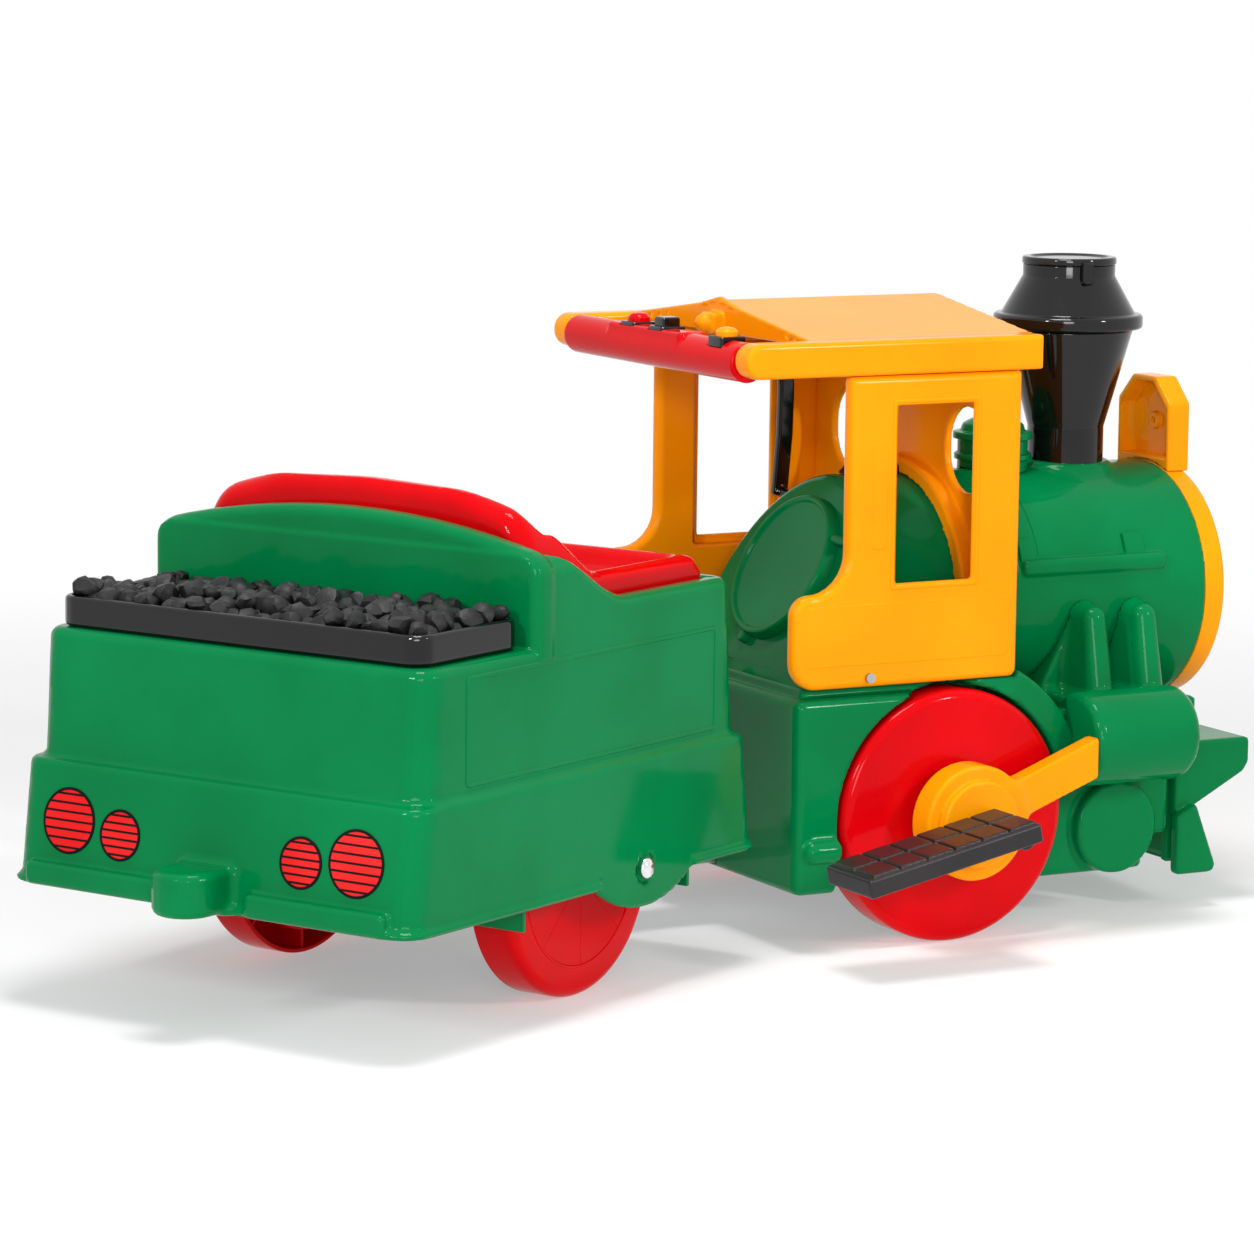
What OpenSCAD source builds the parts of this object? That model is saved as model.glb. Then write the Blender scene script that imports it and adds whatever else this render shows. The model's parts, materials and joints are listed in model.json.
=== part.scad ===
// Ride-on steam train: a locomotive steered about a kingpin, and the tender that is ridden on.
// Millimetres. X runs forward along the locomotive, Y to its left, Z up from the ground.

/* [Layout] */
// Angle between the tender and the locomotive in the rest pose, degrees
steer_rest = 27.5; // [20:0.5:32]
// Kingpin to front axle
king_to_axle = 305; // [303:1:312]
// Rear edge of the tender's ledge to the kingpin
ledge_to_king = 497; // [496:1:500]

/* [Front wheels] */
// Radius of a front wheel
front_r = 117; // [115:0.5:117]
// Width of a front wheel
front_w = 44; // [38:1:46]
// Outer face of a front wheel from the middle
front_out = 194; // [193:0.5:196]

/* [Rear wheels] */
// Radius of a rear wheel
rear_r = 107; // [104:0.5:108]
// Width of a rear wheel's tread
rear_w = 41; // [36:1:42]
// Outer face of a rear wheel from the middle
rear_out = 171.5; // [170:0.5:173]
// Rear axle from the ledge's rear edge
rear_axle_x = 287; // [284:1:290]
// Radius of a rear wheel's inner drum
drum_r = 85; // [70:1:95]
// Width of a rear wheel's inner drum
drum_w = 8; // [5:1:9]

/* [Wheel details] */
// Thickness of a wheel's face and tread
wheel_skin = 4; // [3:0.5:6]
// Rounding of a wheel's outer edge
wheel_round = 9; // [4:1:12]
// Radius of a wheel's hub
hub_r = 17; // [14:1:22]
// Radius of the ring raised on a rear wheel's face
face_ring_r = 81; // [60:1:90]
// Height and width of that ring
face_ring = 2; // [1:0.5:3]
// Ribs inside a wheel
wheel_ribs = 8; // [6:1:12]

/* [Axles and pins] */
// Radius of both axles
axle_r = 6; // [5:0.5:6]
// Radius of the pedal pins
pin_r = 5; // [4:0.5:5.5]
// Radial gap of a running fit
run_gap = 0.05; // [0.03:0.01:0.08]
// Gap between pieces that stand still
seat_gap = 0.3; // [0.2:0.05:0.5]
// Gap between pieces that pass each other
pass_gap = 3.5; // [2.5:0.5:4]

/* [Chassis] */
// Half width of the chassis at the wheels
chassis_half = 178; // [177:1:180]
// Half width of the front frame
frame_half = 152; // [150:1:154]
// Inner wall of the wheel well from the middle
well_wall = 140; // [138:1:142]
// Rear wall from the front axle
chassis_rear = -158; // [-162:1:-156]
// Front end of the wheel arches
arch_front = 134; // [132:1:138]
// Front end of the front frame
frame_front = 300; // [298:1:304]
// Lower edge of the chassis
chassis_low = 54; // [50:1:56]
// Lower edge of the front frame
frame_low = 42; // [40:1:46]
// Top of the front frame
frame_top = 200; // [196:1:204]
// Deck that carries the cab
deck_z = 241; // [240:0.5:243]
// Wall thickness of the moulded shells
skin = 4; // [3:0.5:5]
// Outer radius of the rib round the wheel arch
arch_rib_r = 130; // [126:1:132]
// Height of that rib
arch_rib = 10; // [6:1:11]
// Radius of the moulded pony wheel
pony_r = 44; // [40:1:44]
// Height of the moulded pony wheel
pony_h = 12; // [8:1:16]
// Pony wheel from the front axle
pony_x = 191; // [186:1:196]
// Height of the pony wheel's middle
pony_z = 86; // [86:1:90]

/* [Buffer beam and cowcatcher] */
// Front face of the beam from the front axle
beam_front = 362; // [355:1:370]
// Half width of the beam
beam_half = 150; // [140:1:152]
// Top of the beam
beam_top = 164; // [160:1:170]
// Lower edge of the beam's front face
beam_low = 132; // [126:1:138]
// Height at which the beam meets the cowcatcher
beam_neck_z = 90; // [86:1:96]
// How far that neck stands before the frame
neck_reach = 16; // [12:1:22]
// Foot of the cowcatcher, front
catcher_front = 330; // [324:1:336]
// Foot of the cowcatcher, height above the ground
catcher_low = 34; // [28:1:40]
// How far the cowcatcher's corners lie behind its nose
catcher_sweep = 16; // [10:1:20]
// Rear end of the cowcatcher's cheeks at their foot
cheek_foot = 266; // [260:1:272]
// Rear end of the cowcatcher's cheeks at their head
cheek_head = 266; // [260:1:272]
// Front upper corner of the cheeks
cheek_nose = 290; // [284:1:296]

/* [Boiler] */
// Radius of the boiler
boiler_r = 114.5; // [113:0.5:115]
// Height of the boiler's axis
boiler_z = 296; // [294:0.5:298]
// Front end of the boiler from the front axle
boiler_front = 325; // [323:1:330]
// Lean of the backhead, degrees
backhead_lean = 28; // [22:1:32]
// Backhead middle from the front axle
backhead_x = -66; // [-70:1:-60]
// Backhead middle above the ground
backhead_z = 330; // [326:1:334]
// Radius of the backhead cover
cover_r = 84; // [78:1:88]
// Radius of the cover's inner ring
cover_ring_r = 64; // [58:1:70]
// Height of the boiler's side rail
rail_z = 330; // [325:1:335]
// Radius of the boiler's side rail
rail_r = 7; // [5:0.5:8]
// Side rail, rear end
rail_x0 = 116; // [110:1:122]
// Side rail, front end
rail_x1 = 279; // [270:1:285]
// Thickness of the smokebox front
front_t = 17; // [15:0.5:20]
// Radius of the smokebox door
door_r = 82; // [75:1:90]

/* [Headlamp] */
// Width of the lamp housing
lamp_w = 88; // [80:1:92]
// Depth of the lamp housing
lamp_d = 25; // [22:1:28]
// Top of the lamp housing
lamp_top = 492; // [486:1:498]
// Cut of the lamp housing's upper corners
lamp_cut = 24; // [18:1:28]
// Radius of the lamp lens
lens_r = 30; // [26:1:32]

/* [Funnel] */
// Funnel from the front axle
funnel_x = 236; // [230:1:240]
// Radius of the funnel's foot
funnel_foot_r = 36.5; // [34:0.5:39]
// Top of the foot
funnel_foot_z = 447; // [440:1:452]
// Radius of the lower cone's rim
funnel_cone_r = 62.5; // [58:0.5:64]
// Lower side of the flange
flange_z = 541; // [536:1:546]
// Height of the flange
flange_h = 14; // [12:1:17]
// Radius of the flange
flange_r = 71.5; // [68:0.5:74]
// Radius of the upper cone at the flange
crown_r = 64; // [60:0.5:66]
// Radius of the neck
neck_r = 44; // [42:0.5:45]
// Underside of the neck
neck_z = 591; // [588:1:594]
// Underside of the lid
lid_z = 602; // [600:1:604]
// Radius of the lid
lid_r = 45; // [43:0.5:46]
// Height of the lid
lid_h = 7; // [5:0.5:9]

/* [Whistle dome] */
// Dome from the front axle
dome_x = 154; // [150:1:158]
// Radius of the dome's foot
dome_foot_r = 41; // [38:1:44]
// Top of the dome's foot
dome_foot_z = 423; // [420:1:426]
// Radius of the dome's body
dome_r = 34; // [31:1:36]
// Top of the dome's body
dome_z = 443; // [439:1:447]
// Radius of the dome's knob
dome_knob_r = 24; // [20:1:28]
// Top of the dome's knob
dome_top = 456; // [452:1:460]

/* [Steam cylinders] */
// Radius of a steam cylinder
steam_r = 44; // [42:0.5:46]
// Cylinder axis from the middle
steam_y = 200; // [198:1:202]
// Height of the cylinder axis
steam_z = 178; // [176:1:180]
// Rear end of the cylinder
steam_x0 = 150; // [148:1:154]
// Front end of the cylinder
steam_x1 = 267; // [262:1:272]
// Radius of a steam pipe
pipe_r = 20; // [17:0.5:22]
// Steam pipes, rear one from the front axle
pipe_x = 186; // [182:1:190]
// Distance between the two pipes
pipe_pitch = 52; // [48:1:56]
// Top of the steam pipes
pipe_top = 276; // [270:1:282]
// Distance of the pipes' feet from the middle plane
pipe_foot = 152; // [146:1:156]

/* [Cab] */
// Half width of the cab
cab_half = 189; // [188:1:190]
// Thickness of the cab's walls
cab_t = 16; // [12:1:17]
// Rear edge of the side wall
cab_rear = -114; // [-118:1:-110]
// Front edge of the side wall
cab_front_x = 67; // [64:1:70]
// Underside of the roof rails
cab_top = 522; // [518:1:526]
// Rear edge of the low part of the wall
cab_low_rear = -170; // [-172:1:-166]
// Top of the low part of the wall
cab_low_top = 327; // [322:1:332]
// Rounding of the low part
cab_low_r = 26; // [20:1:30]
// Fillet from the low part up to the rear edge
cab_fillet = 44; // [36:1:48]
// Window, rear edge
window_x0 = -65; // [-68:1:-62]
// Window, front edge
window_x1 = 16; // [12:1:20]
// Window, lower edge
window_z0 = 334; // [330:1:338]
// Window, upper edge
window_z1 = 495; // [490:1:498]
// Width of the frame raised round the window
window_frame = 7; // [5:0.5:9]
// Height of the raised details on the wall
relief = 1.6; // [1:0.2:2.4]
// Top of the lower panel
panel_top = 317; // [312:1:322]
// Rear edge of the pill shaped rib
pill_x = -91; // [-94:1:-88]
// Width of the pill shaped rib
pill_w = 18; // [14:1:20]
// Lower end of the pill shaped rib
pill_z0 = 366; // [360:1:372]
// Upper end of the pill shaped rib
pill_z1 = 462; // [456:1:468]
// Spectacle window from the middle
oval_y = 104; // [100:1:108]
// Height of the spectacle windows
oval_z = 441; // [438:1:446]
// Radius of the spectacle windows
oval_r = 36; // [32:1:38]
// Straight part of a spectacle window's height
oval_stretch = 8; // [4:1:12]

/* [Roof] */
// Rear end of the roof rails
rails_rear = -221; // [-226:1:-218]
// Front end of the roof
roof_front = 89; // [86:1:92]
// Rear end of the roof panel
roof_rear = -147; // [-152:1:-142]
// Width of a roof rail
rail_w = 26; // [22:1:28]
// Height of a roof rail
rail_h = 32; // [30:1:34]
// Height of the ridge above the rails
ridge_rise = 24; // [18:1:28]
// Thickness of the roof panel
roof_t = 6; // [5:0.5:8]
// Size of the block at the rear of the ridge
knob_block = 26; // [22:1:30]
// Radius of the knob on it
knob_r = 9; // [7:0.5:11]

/* [Grip and buttons] */
// Radius of the grip
grip_r = 18; // [16:0.5:19]
// Grip from the front axle
grip_x = -205; // [-206:1:-204]
// Radius of the tube inside the grip
core_r = 8.9; // [8:0.1:9.2]
// Side length of a button's base
base_w = 26; // [22:1:28]
// Height of a button's base
base_h = 9; // [8.5:0.5:11]
// How far a base stands above the grip
base_rise = 3; // [2:0.5:3.5]
// Radius of a round button
button_r = 10; // [8:0.5:11]
// Height of a button's cap
button_h = 5; // [4:0.5:6]
// Travel of a button
button_travel = 3; // [2:0.5:3]
// Radius of a button's stem
stem_r = 4; // [3:0.5:4]
// Red button from the middle
red_y = 45; // [40:1:50]
// Black button from the middle
black_y = -10; // [-15:1:-5]
// Yellow button from the middle
yellow_y = -122; // [-126:1:-110]

/* [Rods and pedals] */
// Radius of a rod's hub disc
rod_hub_r = 53; // [50:1:56]
// Radius of the ring raised on it
rod_ring_r = 40; // [36:1:44]
// Inner face of a rod's hub from the middle
rod_in = 204; // [202:1:206]
// Thickness of a rod's hub
rod_hub_t = 30; // [26:1:32]
// Height of the raised ring
rod_ring_t = 8; // [6:1:10]
// Width of a rod's arm
arm_w = 35; // [30:1:38]
// Thickness of a rod's arm
arm_t = 16; // [12:1:18]
// Slope of a rod's arm, degrees
arm_slope = 21; // [19:0.5:23]
// Inner edge of a pedal from the middle
pedal_in = 246; // [245:0.5:250]
// Width of a pedal
pedal_w = 77; // [70:1:80]
// Length of a pedal
pedal_l = 168; // [160:1:175]
// Thickness of a pedal
pedal_t = 20; // [16:1:24]
// Slope of a pedal, degrees
pedal_slope = 12; // [9:0.5:14]
// Height of the pedal's grip tiles
tile_h = 3; // [2:0.5:4]
// Groove between two tiles
tile_gap = 4; // [3:0.5:6]
// Radius of the pedal's knuckles
knuckle_r = 15; // [13:0.5:16]

/* [Coupling] */
// Radius of the kingpin
king_r = 8; // [7:0.5:9]
// Underside of the locomotive's tongue
tongue_z = 60; // [59:0.5:61]
// Thickness of the tongue
tongue_t = 10; // [8:0.5:10]
// Half width of the tongue and of the drawbar
tongue_half = 40; // [34:1:42]
// Thickness of a kingpin washer
washer_t = 2; // [1.5:0.5:2.5]

/* [Power] */
// Gear module
gear_module = 2; // [2:0.5:2]
// Teeth of the final gear
gear_teeth = 40; // [40:2:40]
// Teeth of the motor's pinion
pinion_teeth = 12; // [12:1:12]
// Width of the gears
gear_w = 12; // [9:1:13]
// Inner wall of the gearbox from the middle
gearbox_y = 86; // [84:1:90]
// Width of the gearbox
gearbox_w = 26; // [24:1:28]
// Radius of the motor
motor_r = 19; // [16:0.5:20]
// Length of the motor
motor_l = 60; // [50:1:66]
// Length of the battery
battery_l = 84; // [70:1:88]
// Width of the battery
battery_w = 140; // [110:1:150]
// Height of the battery
battery_h = 84; // [70:1:90]

/* [Tender] */
// Half width of the tender's upper body
tender_half = 207; // [206:0.5:208]
// Step of the ledge at each side
ledge_step = 7; // [5.5:0.5:8]
// Ledge between skirt and upper body
ledge_z = 210; // [206:1:214]
// Front end of the ledge
ledge_front = 487; // [485:1:489]
// Lower edge of the skirt
skirt_low = 105; // [102:1:108]
// Flare of the skirt over its height
skirt_flare = 14; // [10:1:16]
// Reach of the lip round the lower edge
lip = 4; // [3:0.5:5]
// Rounding of the tender's corners in plan
corner_r = 22; // [18:1:26]
// Deck under the coal
coal_deck = 321; // [318:1:324]
// Rear edge of the coal deck
coal_deck_rear = 20; // [18:1:24]
// Rear face of the backboard
backboard_x = 169; // [166:1:172]
// Thickness of the backboard
backboard_t = 26; // [22:1:28]
// Backboard height at its middle
backboard_top = 425; // [418:1:430]
// Backboard height at its shoulders
backboard_side = 398; // [392:1:402]
// Top of the low side walls
wall_top = 351; // [348:1:354]
// Where the side wall has come down to its low part
wall_low_x = 314; // [308:1:320]
// Front end of the side walls' top
wall_front = 468; // [466:1:470]
// Radius of the skirt's lobe round the cap
lobe_r = 121; // [112:1:130]
// Lowest point of the lobe
lobe_low = 79; // [76:1:84]
// Lobe and cap from the ledge's rear edge
cap_x = 324; // [322:1:328]
// Height of the cap
cap_z = 113; // [111:1:115]
// Radius of the cap
cap_r = 9.5; // [8:0.5:11]
// Hitch lug, half width
hitch_half = 28; // [24:1:32]
// Hitch lug, reach behind the skirt
hitch_reach = 48; // [40:1:54]
// Hitch lug, height
hitch_h = 38; // [34:1:42]
// Radius of the hitch bore
hitch_bore_r = 8; // [6:0.5:9]
// Depth of the hitch bore
hitch_depth = 30; // [24:1:32]
// Side panel raised on the upper body
side_relief = 1.2; // [0.8:0.2:2]

/* [Tail lamps] */
// Radius of a large tail lamp
big_lamp_r = 28.5; // [26:0.5:30]
// Large lamp from the middle
big_lamp_y = 154; // [150:1:158]
// Height of the large lamps
big_lamp_z = 161; // [158:1:164]
// Radius of a small tail lamp
small_lamp_r = 22; // [20:0.5:23]
// Small lamp from the middle
small_lamp_y = 97; // [94:1:100]
// Height of the small lamps
small_lamp_z = 155; // [152:1:158]
// Thickness of a lamp disc
lamp_disc_t = 1.2; // [0.8:0.2:2]

/* [Seat] */
// Height of the backrest at its middle
seat_top = 452; // [446:1:458]
// Height of the seat's side ridges
seat_ridge = 371; // [366:1:376]
// Depth of the pan below the side ridges
pan_depth = 22; // [17:1:24]
// Thickness of the pan
seat_t = 16; // [12:1:18]
// Width of the seat's side ridges
seat_side = 24; // [20:1:28]
// Thickness of the backrest
seat_back_t = 22; // [18:1:26]
// Where the side ridges have come down
seat_sweep_x = 300; // [292:1:310]
// Seat's edge from the tender's side
seat_inset = 18; // [17:0.5:20]

/* [Coal tray] */
// Half width of the tray
tray_half = 195; // [190:1:198]
// Length of the tray
tray_l = 141; // [134:1:142]
// Height of the tray
tray_h = 27; // [24:1:30]
// Rounding of the tray's corners
tray_r = 18; // [14:1:22]
// Height of the upper lumps' middles above the tray's floor
coal_h = 28; // [24:1:32]
// How far lower the lowest lumps lie
coal_rough = 12; // [8:1:14]
// Size of a coal lump
coal_lump = 23; // [20:1:26]
// Coal lumps along the tray's width
coal_rows = 13; // [11:1:15]
// Coal lumps along the tray's length
coal_cols = 5; // [4:1:6]

/* [Hidden] */
$fn = 48;

// Colours of the mouldings
GREEN = [0, 0.5, 0.28];
YELLOW = [1, 0.68, 0.09];
RED = [0.88, 0.02, 0.05];
BLACK = [0.09, 0.09, 0.1];
STEEL = [0.7, 0.7, 0.72];

// How far a cut runs past the face it opens
overrun = 5;

// Sides of the locomotive
RIGHT = -1;
LEFT = 1;

// Lip round the tender's skirt, and the corners that bound the whole object
lip_rear = -skirt_flare - lip;
lip_front = ledge_front + skirt_flare + lip;
skirt_half = tender_half + ledge_step;
lip_half = skirt_half + lip;
lip_r = corner_r + lip;
bound_x = lip_rear + lip_r - ledge_to_king;
bound_y = lip_half - lip_r;
rear_end = bound_x * cos(steer_rest) - bound_y * sin(steer_rest) - lip_r;
right_end = bound_x * sin(steer_rest) - bound_y * cos(steer_rest) - lip_r;
left_end = pedal_in + pedal_w;
front_end = king_to_axle + beam_front;
centre_x = (front_end + rear_end) / 2;
centre_y = (left_end + right_end) / 2;

// Front wheels and the wells round them
front_in = front_out - front_w;
well_r = front_r + pass_gap;
arch_face = chassis_half + arch_rib;
axle_end = rod_in + rod_hub_t / 2;

// Buffer beam
beam_neck = frame_front + neck_reach;

// Boiler
boiler_in = boiler_r - skin;
boiler_hold = boiler_r + seat_gap;
rail_y = sqrt(boiler_r * boiler_r - (rail_z - boiler_z) * (rail_z - boiler_z));
backhead_t = 6;
cover_t = 8;
cover_lift = 3;

// Cab and roof
cab_in = cab_half - cab_t;
cab_wall_x = cab_front_x - cab_t;
rail_top = cab_top + rail_h;
rail_in = cab_half - rail_w;
ridge_z = rail_top + ridge_rise;
grip_z = cab_top + rail_h / 2 - overrun / 2;
grip_half = rail_in - seat_gap;
core_half = rail_in + rail_w / 2;

// Buttons
base_top = grip_z + grip_r + base_rise;
base_low = base_top - base_h;
cap_low = base_top + button_travel + seat_gap;
stem_low = base_low + button_travel / 2;
spring_r = stem_r + 1.9;
spring_wire = 0.5;
spring_well = 7.2;
spring_floor = base_low + 3;

// Rods and pedals
rod_face = rod_in + rod_hub_t + rod_ring_t;
pedal_out = pedal_in + pedal_w;
knuckle_w = 16;
tile_cols = 6;
tile_rows = 2;
pedal_drop = knuckle_r - pedal_t;
rod_pocket = 6;
tenon_r = 9;
tenon_l = 16;
tenon_z = front_r + (steam_x0 - tenon_l / 2) * tan(arm_slope);
arm_y = rod_in + rod_hub_t / 2;

// Coupling heights
washer_z = tongue_z + tongue_t;
drawbar_z = washer_z + washer_t;
drawbar_t = 10;
drawbar_top = drawbar_z + drawbar_t;
king_head_h = 7;
king_head_r = 14;
tongue_x0 = -king_to_axle;
tongue_x1 = -64;

// Gears
gear_r = gear_module * gear_teeth / 2;
pinion_r = gear_module * pinion_teeth / 2;
mesh_angle = 30;
pinion_x = (gear_r + pinion_r) * cos(mesh_angle);
pinion_z = front_r + (gear_r + pinion_r) * sin(mesh_angle);
gear_y = gearbox_y + (gearbox_w - gear_w) / 2;
gear_tip = gear_r + gear_module;
box_wall = 3;
box_x0 = -gear_tip - box_wall - pass_gap;
box_x1 = pinion_x + pinion_r + gear_module + box_wall + pass_gap;
box_z0 = front_r - gear_tip - box_wall - pass_gap;
box_z1 = front_r + gear_tip + box_wall + pass_gap;
sleeve_r = 16;
motor_y = gearbox_y - motor_l;
shaft_r = 2.5;

// Battery and its tray
tray_z = tongue_z + tongue_t + seat_gap;
battery_z = tray_z + skin;
battery_x = chassis_rear + skin + overrun;

// Tender
shell_in = skirt_half - skin;
body_in = tender_half - skin;
web_rear = 158;
web_front = 404;
web_seat = 216;
web_low = drawbar_top;
seat_x0 = backboard_x + backboard_t + seat_gap * 4;
seat_x1 = 454;
seat_half = tender_half - seat_inset;
seat_pan = seat_ridge - pan_depth;
opening_gap = 1;
seat_low = seat_pan - seat_t;
rear_lean = atan(skirt_flare / (ledge_z - skirt_low));
backboard_hollow = tender_half - corner_r;
arc_drop = backboard_top - backboard_side;
arc_r = (tender_half * tender_half + arc_drop * arc_drop) / (2 * arc_drop);
lobe_drop = lobe_low + lobe_r - skirt_low;
lobe_half = sqrt(lobe_r * lobe_r - lobe_drop * lobe_drop) - skin;
pedestal_in = 96;
pedestal_out = 116;
bracket_y = rear_out + pass_gap;
bracket_t = 6;
bolt_r = 4;
hitch_x = lip_rear - hitch_reach + hitch_half;
hitch_z = skirt_low;
tray_x = coal_deck_rear + overrun;
tray_rim = 5;

// Places on the object

module on_loco() {
  translate([king_to_axle - centre_x, -centre_y, 0]) children();
}

module on_tender() {
  translate([-centre_x, -centre_y, 0]) rotate(steer_rest) translate([-ledge_to_king, 0, 0]) children();
}

module both_sides() {
  children();
  mirror([0, 1, 0]) children();
}

// The right side is drawn, the left side mirrors it
module on_side(side) {
  mirror([0, side == LEFT ? 1 : 0, 0]) children();
}

// Simple shapes set out by their ends

module block(x0, x1, y0, y1, z0, z1) {
  translate([x0, y0, z0]) cube([x1 - x0, y1 - y0, z1 - z0]);
}

module bar_x(r, x0, x1, y, z) {
  translate([x0, y, z]) rotate([0, 90, 0]) cylinder(r = r, h = x1 - x0);
}

module bar_y(r, y0, y1, x, z) {
  translate([x, y1, z]) rotate([90, 0, 0]) cylinder(r = r, h = y1 - y0);
}

module bar_z(r, z0, z1, x, y) {
  translate([x, y, z0]) cylinder(r = r, h = z1 - z0);
}

// A side view outline (x, z) given a thickness from y0 to y1
module side_plate(y0, y1) {
  translate([0, y1, 0]) rotate([90, 0, 0]) linear_extrude(y1 - y0) children();
}

// A rear view outline (y, z) given a thickness from x0 to x1
module cross_plate(x0, x1) {
  translate([x0, 0, 0]) rotate([90, 0, 90]) linear_extrude(x1 - x0) children();
}

module rounded(x0, x1, y0, y1, r) {
  translate([x0 + r, y0]) square([x1 - x0 - 2 * r, y1 - y0]);
  translate([x0, y0 + r]) square([x1 - x0, y1 - y0 - 2 * r]);
  for (x = [x0 + r, x1 - r], y = [y0 + r, y1 - r]) translate([x, y]) circle(r);
}

// Chassis

module boiler_body(r, x1) {
  reach = 2 * boiler_front;
  intersection() {
    bar_x(r, -boiler_front, x1, 0, boiler_z);
    translate([backhead_x, 0, backhead_z]) rotate([0, backhead_lean, 0]) translate([0, -reach / 2, -reach / 2])
      cube(reach);
  }
}

module chassis_outside() {
  block(chassis_rear, arch_front, -chassis_half, chassis_half, chassis_low, deck_z);
  block(arch_front - skin, frame_front, -frame_half, frame_half, frame_low, frame_top);
  both_sides() {
    bar_y(pony_r, -frame_half - pony_h, -frame_half + skin, pony_x, pony_z);
    intersection() {
      bar_y(arch_rib_r, -arch_face, -chassis_half + skin, 0, front_r);
      block(chassis_rear, arch_front, -arch_face, -well_wall, front_r, deck_z);
    }
    screw_lugs();
  }
}

module screw_lugs() {
  lug = 12;
  root = min(cab_in, chassis_half) - skin * 4;
  for (x = cab_screw_xs) block(x - lug, x + lug, -cab_in + seat_gap, -root, deck_z - skin, cab_screw_z + lug);
}

module chassis_hollows() {
  top = deck_z - skin;
  inner = well_wall - skin;
  well_end = -well_r - skin;
  block(chassis_rear + skin, arch_front - skin, -inner, inner, chassis_low - overrun, top);
  block(chassis_rear + skin, well_end, -chassis_half + skin, chassis_half - skin, chassis_low - overrun, top);
  block(arch_front - 2 * skin, frame_front - skin, -frame_half + skin, frame_half - skin, frame_low - overrun,
    boiler_z - boiler_r - skin);
  both_sides() {
    bar_y(well_r, -arch_face - overrun, -well_wall, 0, front_r);
    block(-well_r, well_r, -arch_face - overrun, -well_wall, frame_low - overrun, front_r);
    bar_y(axle_r + skin, -well_wall - overrun, -inner + overrun, 0, front_r);
    for (x = cab_screw_xs) bar_y(screw_r, -cab_half, -cab_in + skin * 5, x, cab_screw_z);
  }
  bar_y(sleeve_r + pass_gap, inner - overrun, well_wall + overrun, 0, front_r);
  boiler_body(boiler_hold, frame_front + overrun);
  block(chassis_rear - overrun, chassis_rear + 2 * skin, -tongue_half - seat_gap, tongue_half + seat_gap,
    tongue_z - seat_gap, washer_z + seat_gap);
}

module chassis() {
  on_loco() color(GREEN) difference() {
    chassis_outside();
    chassis_hollows();
  }
}

module buffer_beam() {
  back = frame_front + seat_gap;
  on_loco() color(GREEN) {
    difference() {
      side_plate(-beam_half, beam_half) polygon([[back, beam_neck_z], [beam_neck, beam_neck_z],
        [beam_front, beam_low], [beam_front, beam_top], [back, beam_top]]);
      side_plate(skin - beam_half, beam_half - skin) polygon([[back - overrun, beam_neck_z + skin],
        [beam_neck - skin, beam_neck_z + skin], [beam_front - skin, beam_low + skin],
        [beam_front - skin, beam_top - skin], [back - overrun, beam_top - skin]]);
    }
    cowcatcher();
  }
}

// A shallow wedge in front of the frame, with a cheek along each side of it
module cowcatcher() {
  back = frame_front + seat_gap;
  inner = frame_half + seat_gap;
  outer = inner + 3 * skin;
  corner = catcher_front - catcher_sweep;
  difference() {
    intersection() {
      side_plate(-outer, outer) polygon([[back, catcher_low], [catcher_front, catcher_low],
        [beam_neck, beam_neck_z], [back, beam_neck_z]]);
      linear_extrude(beam_top) polygon([[back, -outer], [corner, -outer], [catcher_front, 0], [corner, outer],
        [back, outer]]);
    }
    side_plate(skin - inner, inner - skin) polygon([[back - overrun, catcher_low - overrun],
      [corner - skin, catcher_low - overrun], [back + skin, beam_neck_z - 2 * skin],
      [back - overrun, beam_neck_z - 2 * skin]]);
  }
  both_sides() side_plate(-outer, -inner) polygon([[cheek_foot, catcher_low], [corner, catcher_low],
    [cheek_nose, beam_neck_z], [cheek_head, beam_neck_z]]);
}

// Boiler and what stands on it

module boiler() {
  plate_x0 = rail_x1 - rail_r * 7;
  plate_x1 = rail_x1 - rail_r * 3;
  on_loco() color(GREEN) difference() {
    union() {
      boiler_body(boiler_r, boiler_front);
      both_sides() {
        bar_x(rail_r, rail_x0, rail_x1, -rail_y, rail_z);
        intersection() {
          block(plate_x0, plate_x1, -boiler_r, -boiler_r / 2, rail_z, rail_z + rail_r * 3);
          bar_x(boiler_r + relief * 2, plate_x0, plate_x1, 0, boiler_z);
        }
      }
    }
    translate([backhead_t, 0, 0]) boiler_body(boiler_in, boiler_front + overrun);
    loom_hole();
  }
}

module on_backhead(lift) {
  translate([backhead_x, 0, backhead_z]) rotate([0, backhead_lean - 90, 0]) translate([0, 0, lift]) children();
}

module backhead_cover() {
  tab = 9;
  on_loco() color(GREEN) on_backhead(seat_gap) difference() {
    union() {
      cylinder(r = cover_r, h = cover_t);
      translate([0, -cover_r, 0]) cylinder(r = tab, h = cover_t + cover_lift);
      cylinder(r = cover_ring_r, h = cover_t + cover_lift);
    }
    translate([0, 0, cover_t]) cylinder(r = cover_ring_r - skin, h = cover_lift + overrun);
  }
}

module smokebox_front() {
  face = boiler_front + front_t;
  plug = 12;
  on_loco() color(YELLOW) difference() {
    union() {
      bar_x(boiler_r, boiler_front, face, 0, boiler_z);
      bar_x(boiler_in - seat_gap, boiler_front - plug, boiler_front, 0, boiler_z);
      bar_x(door_r, face, face + relief * 2, 0, boiler_z);
      bar_x(knob_r, face, face + knob_r, 0, boiler_z);
    }
    bar_x(boiler_in - skin, boiler_front - plug - overrun, face - skin, 0, boiler_z);
  }
}

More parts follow.
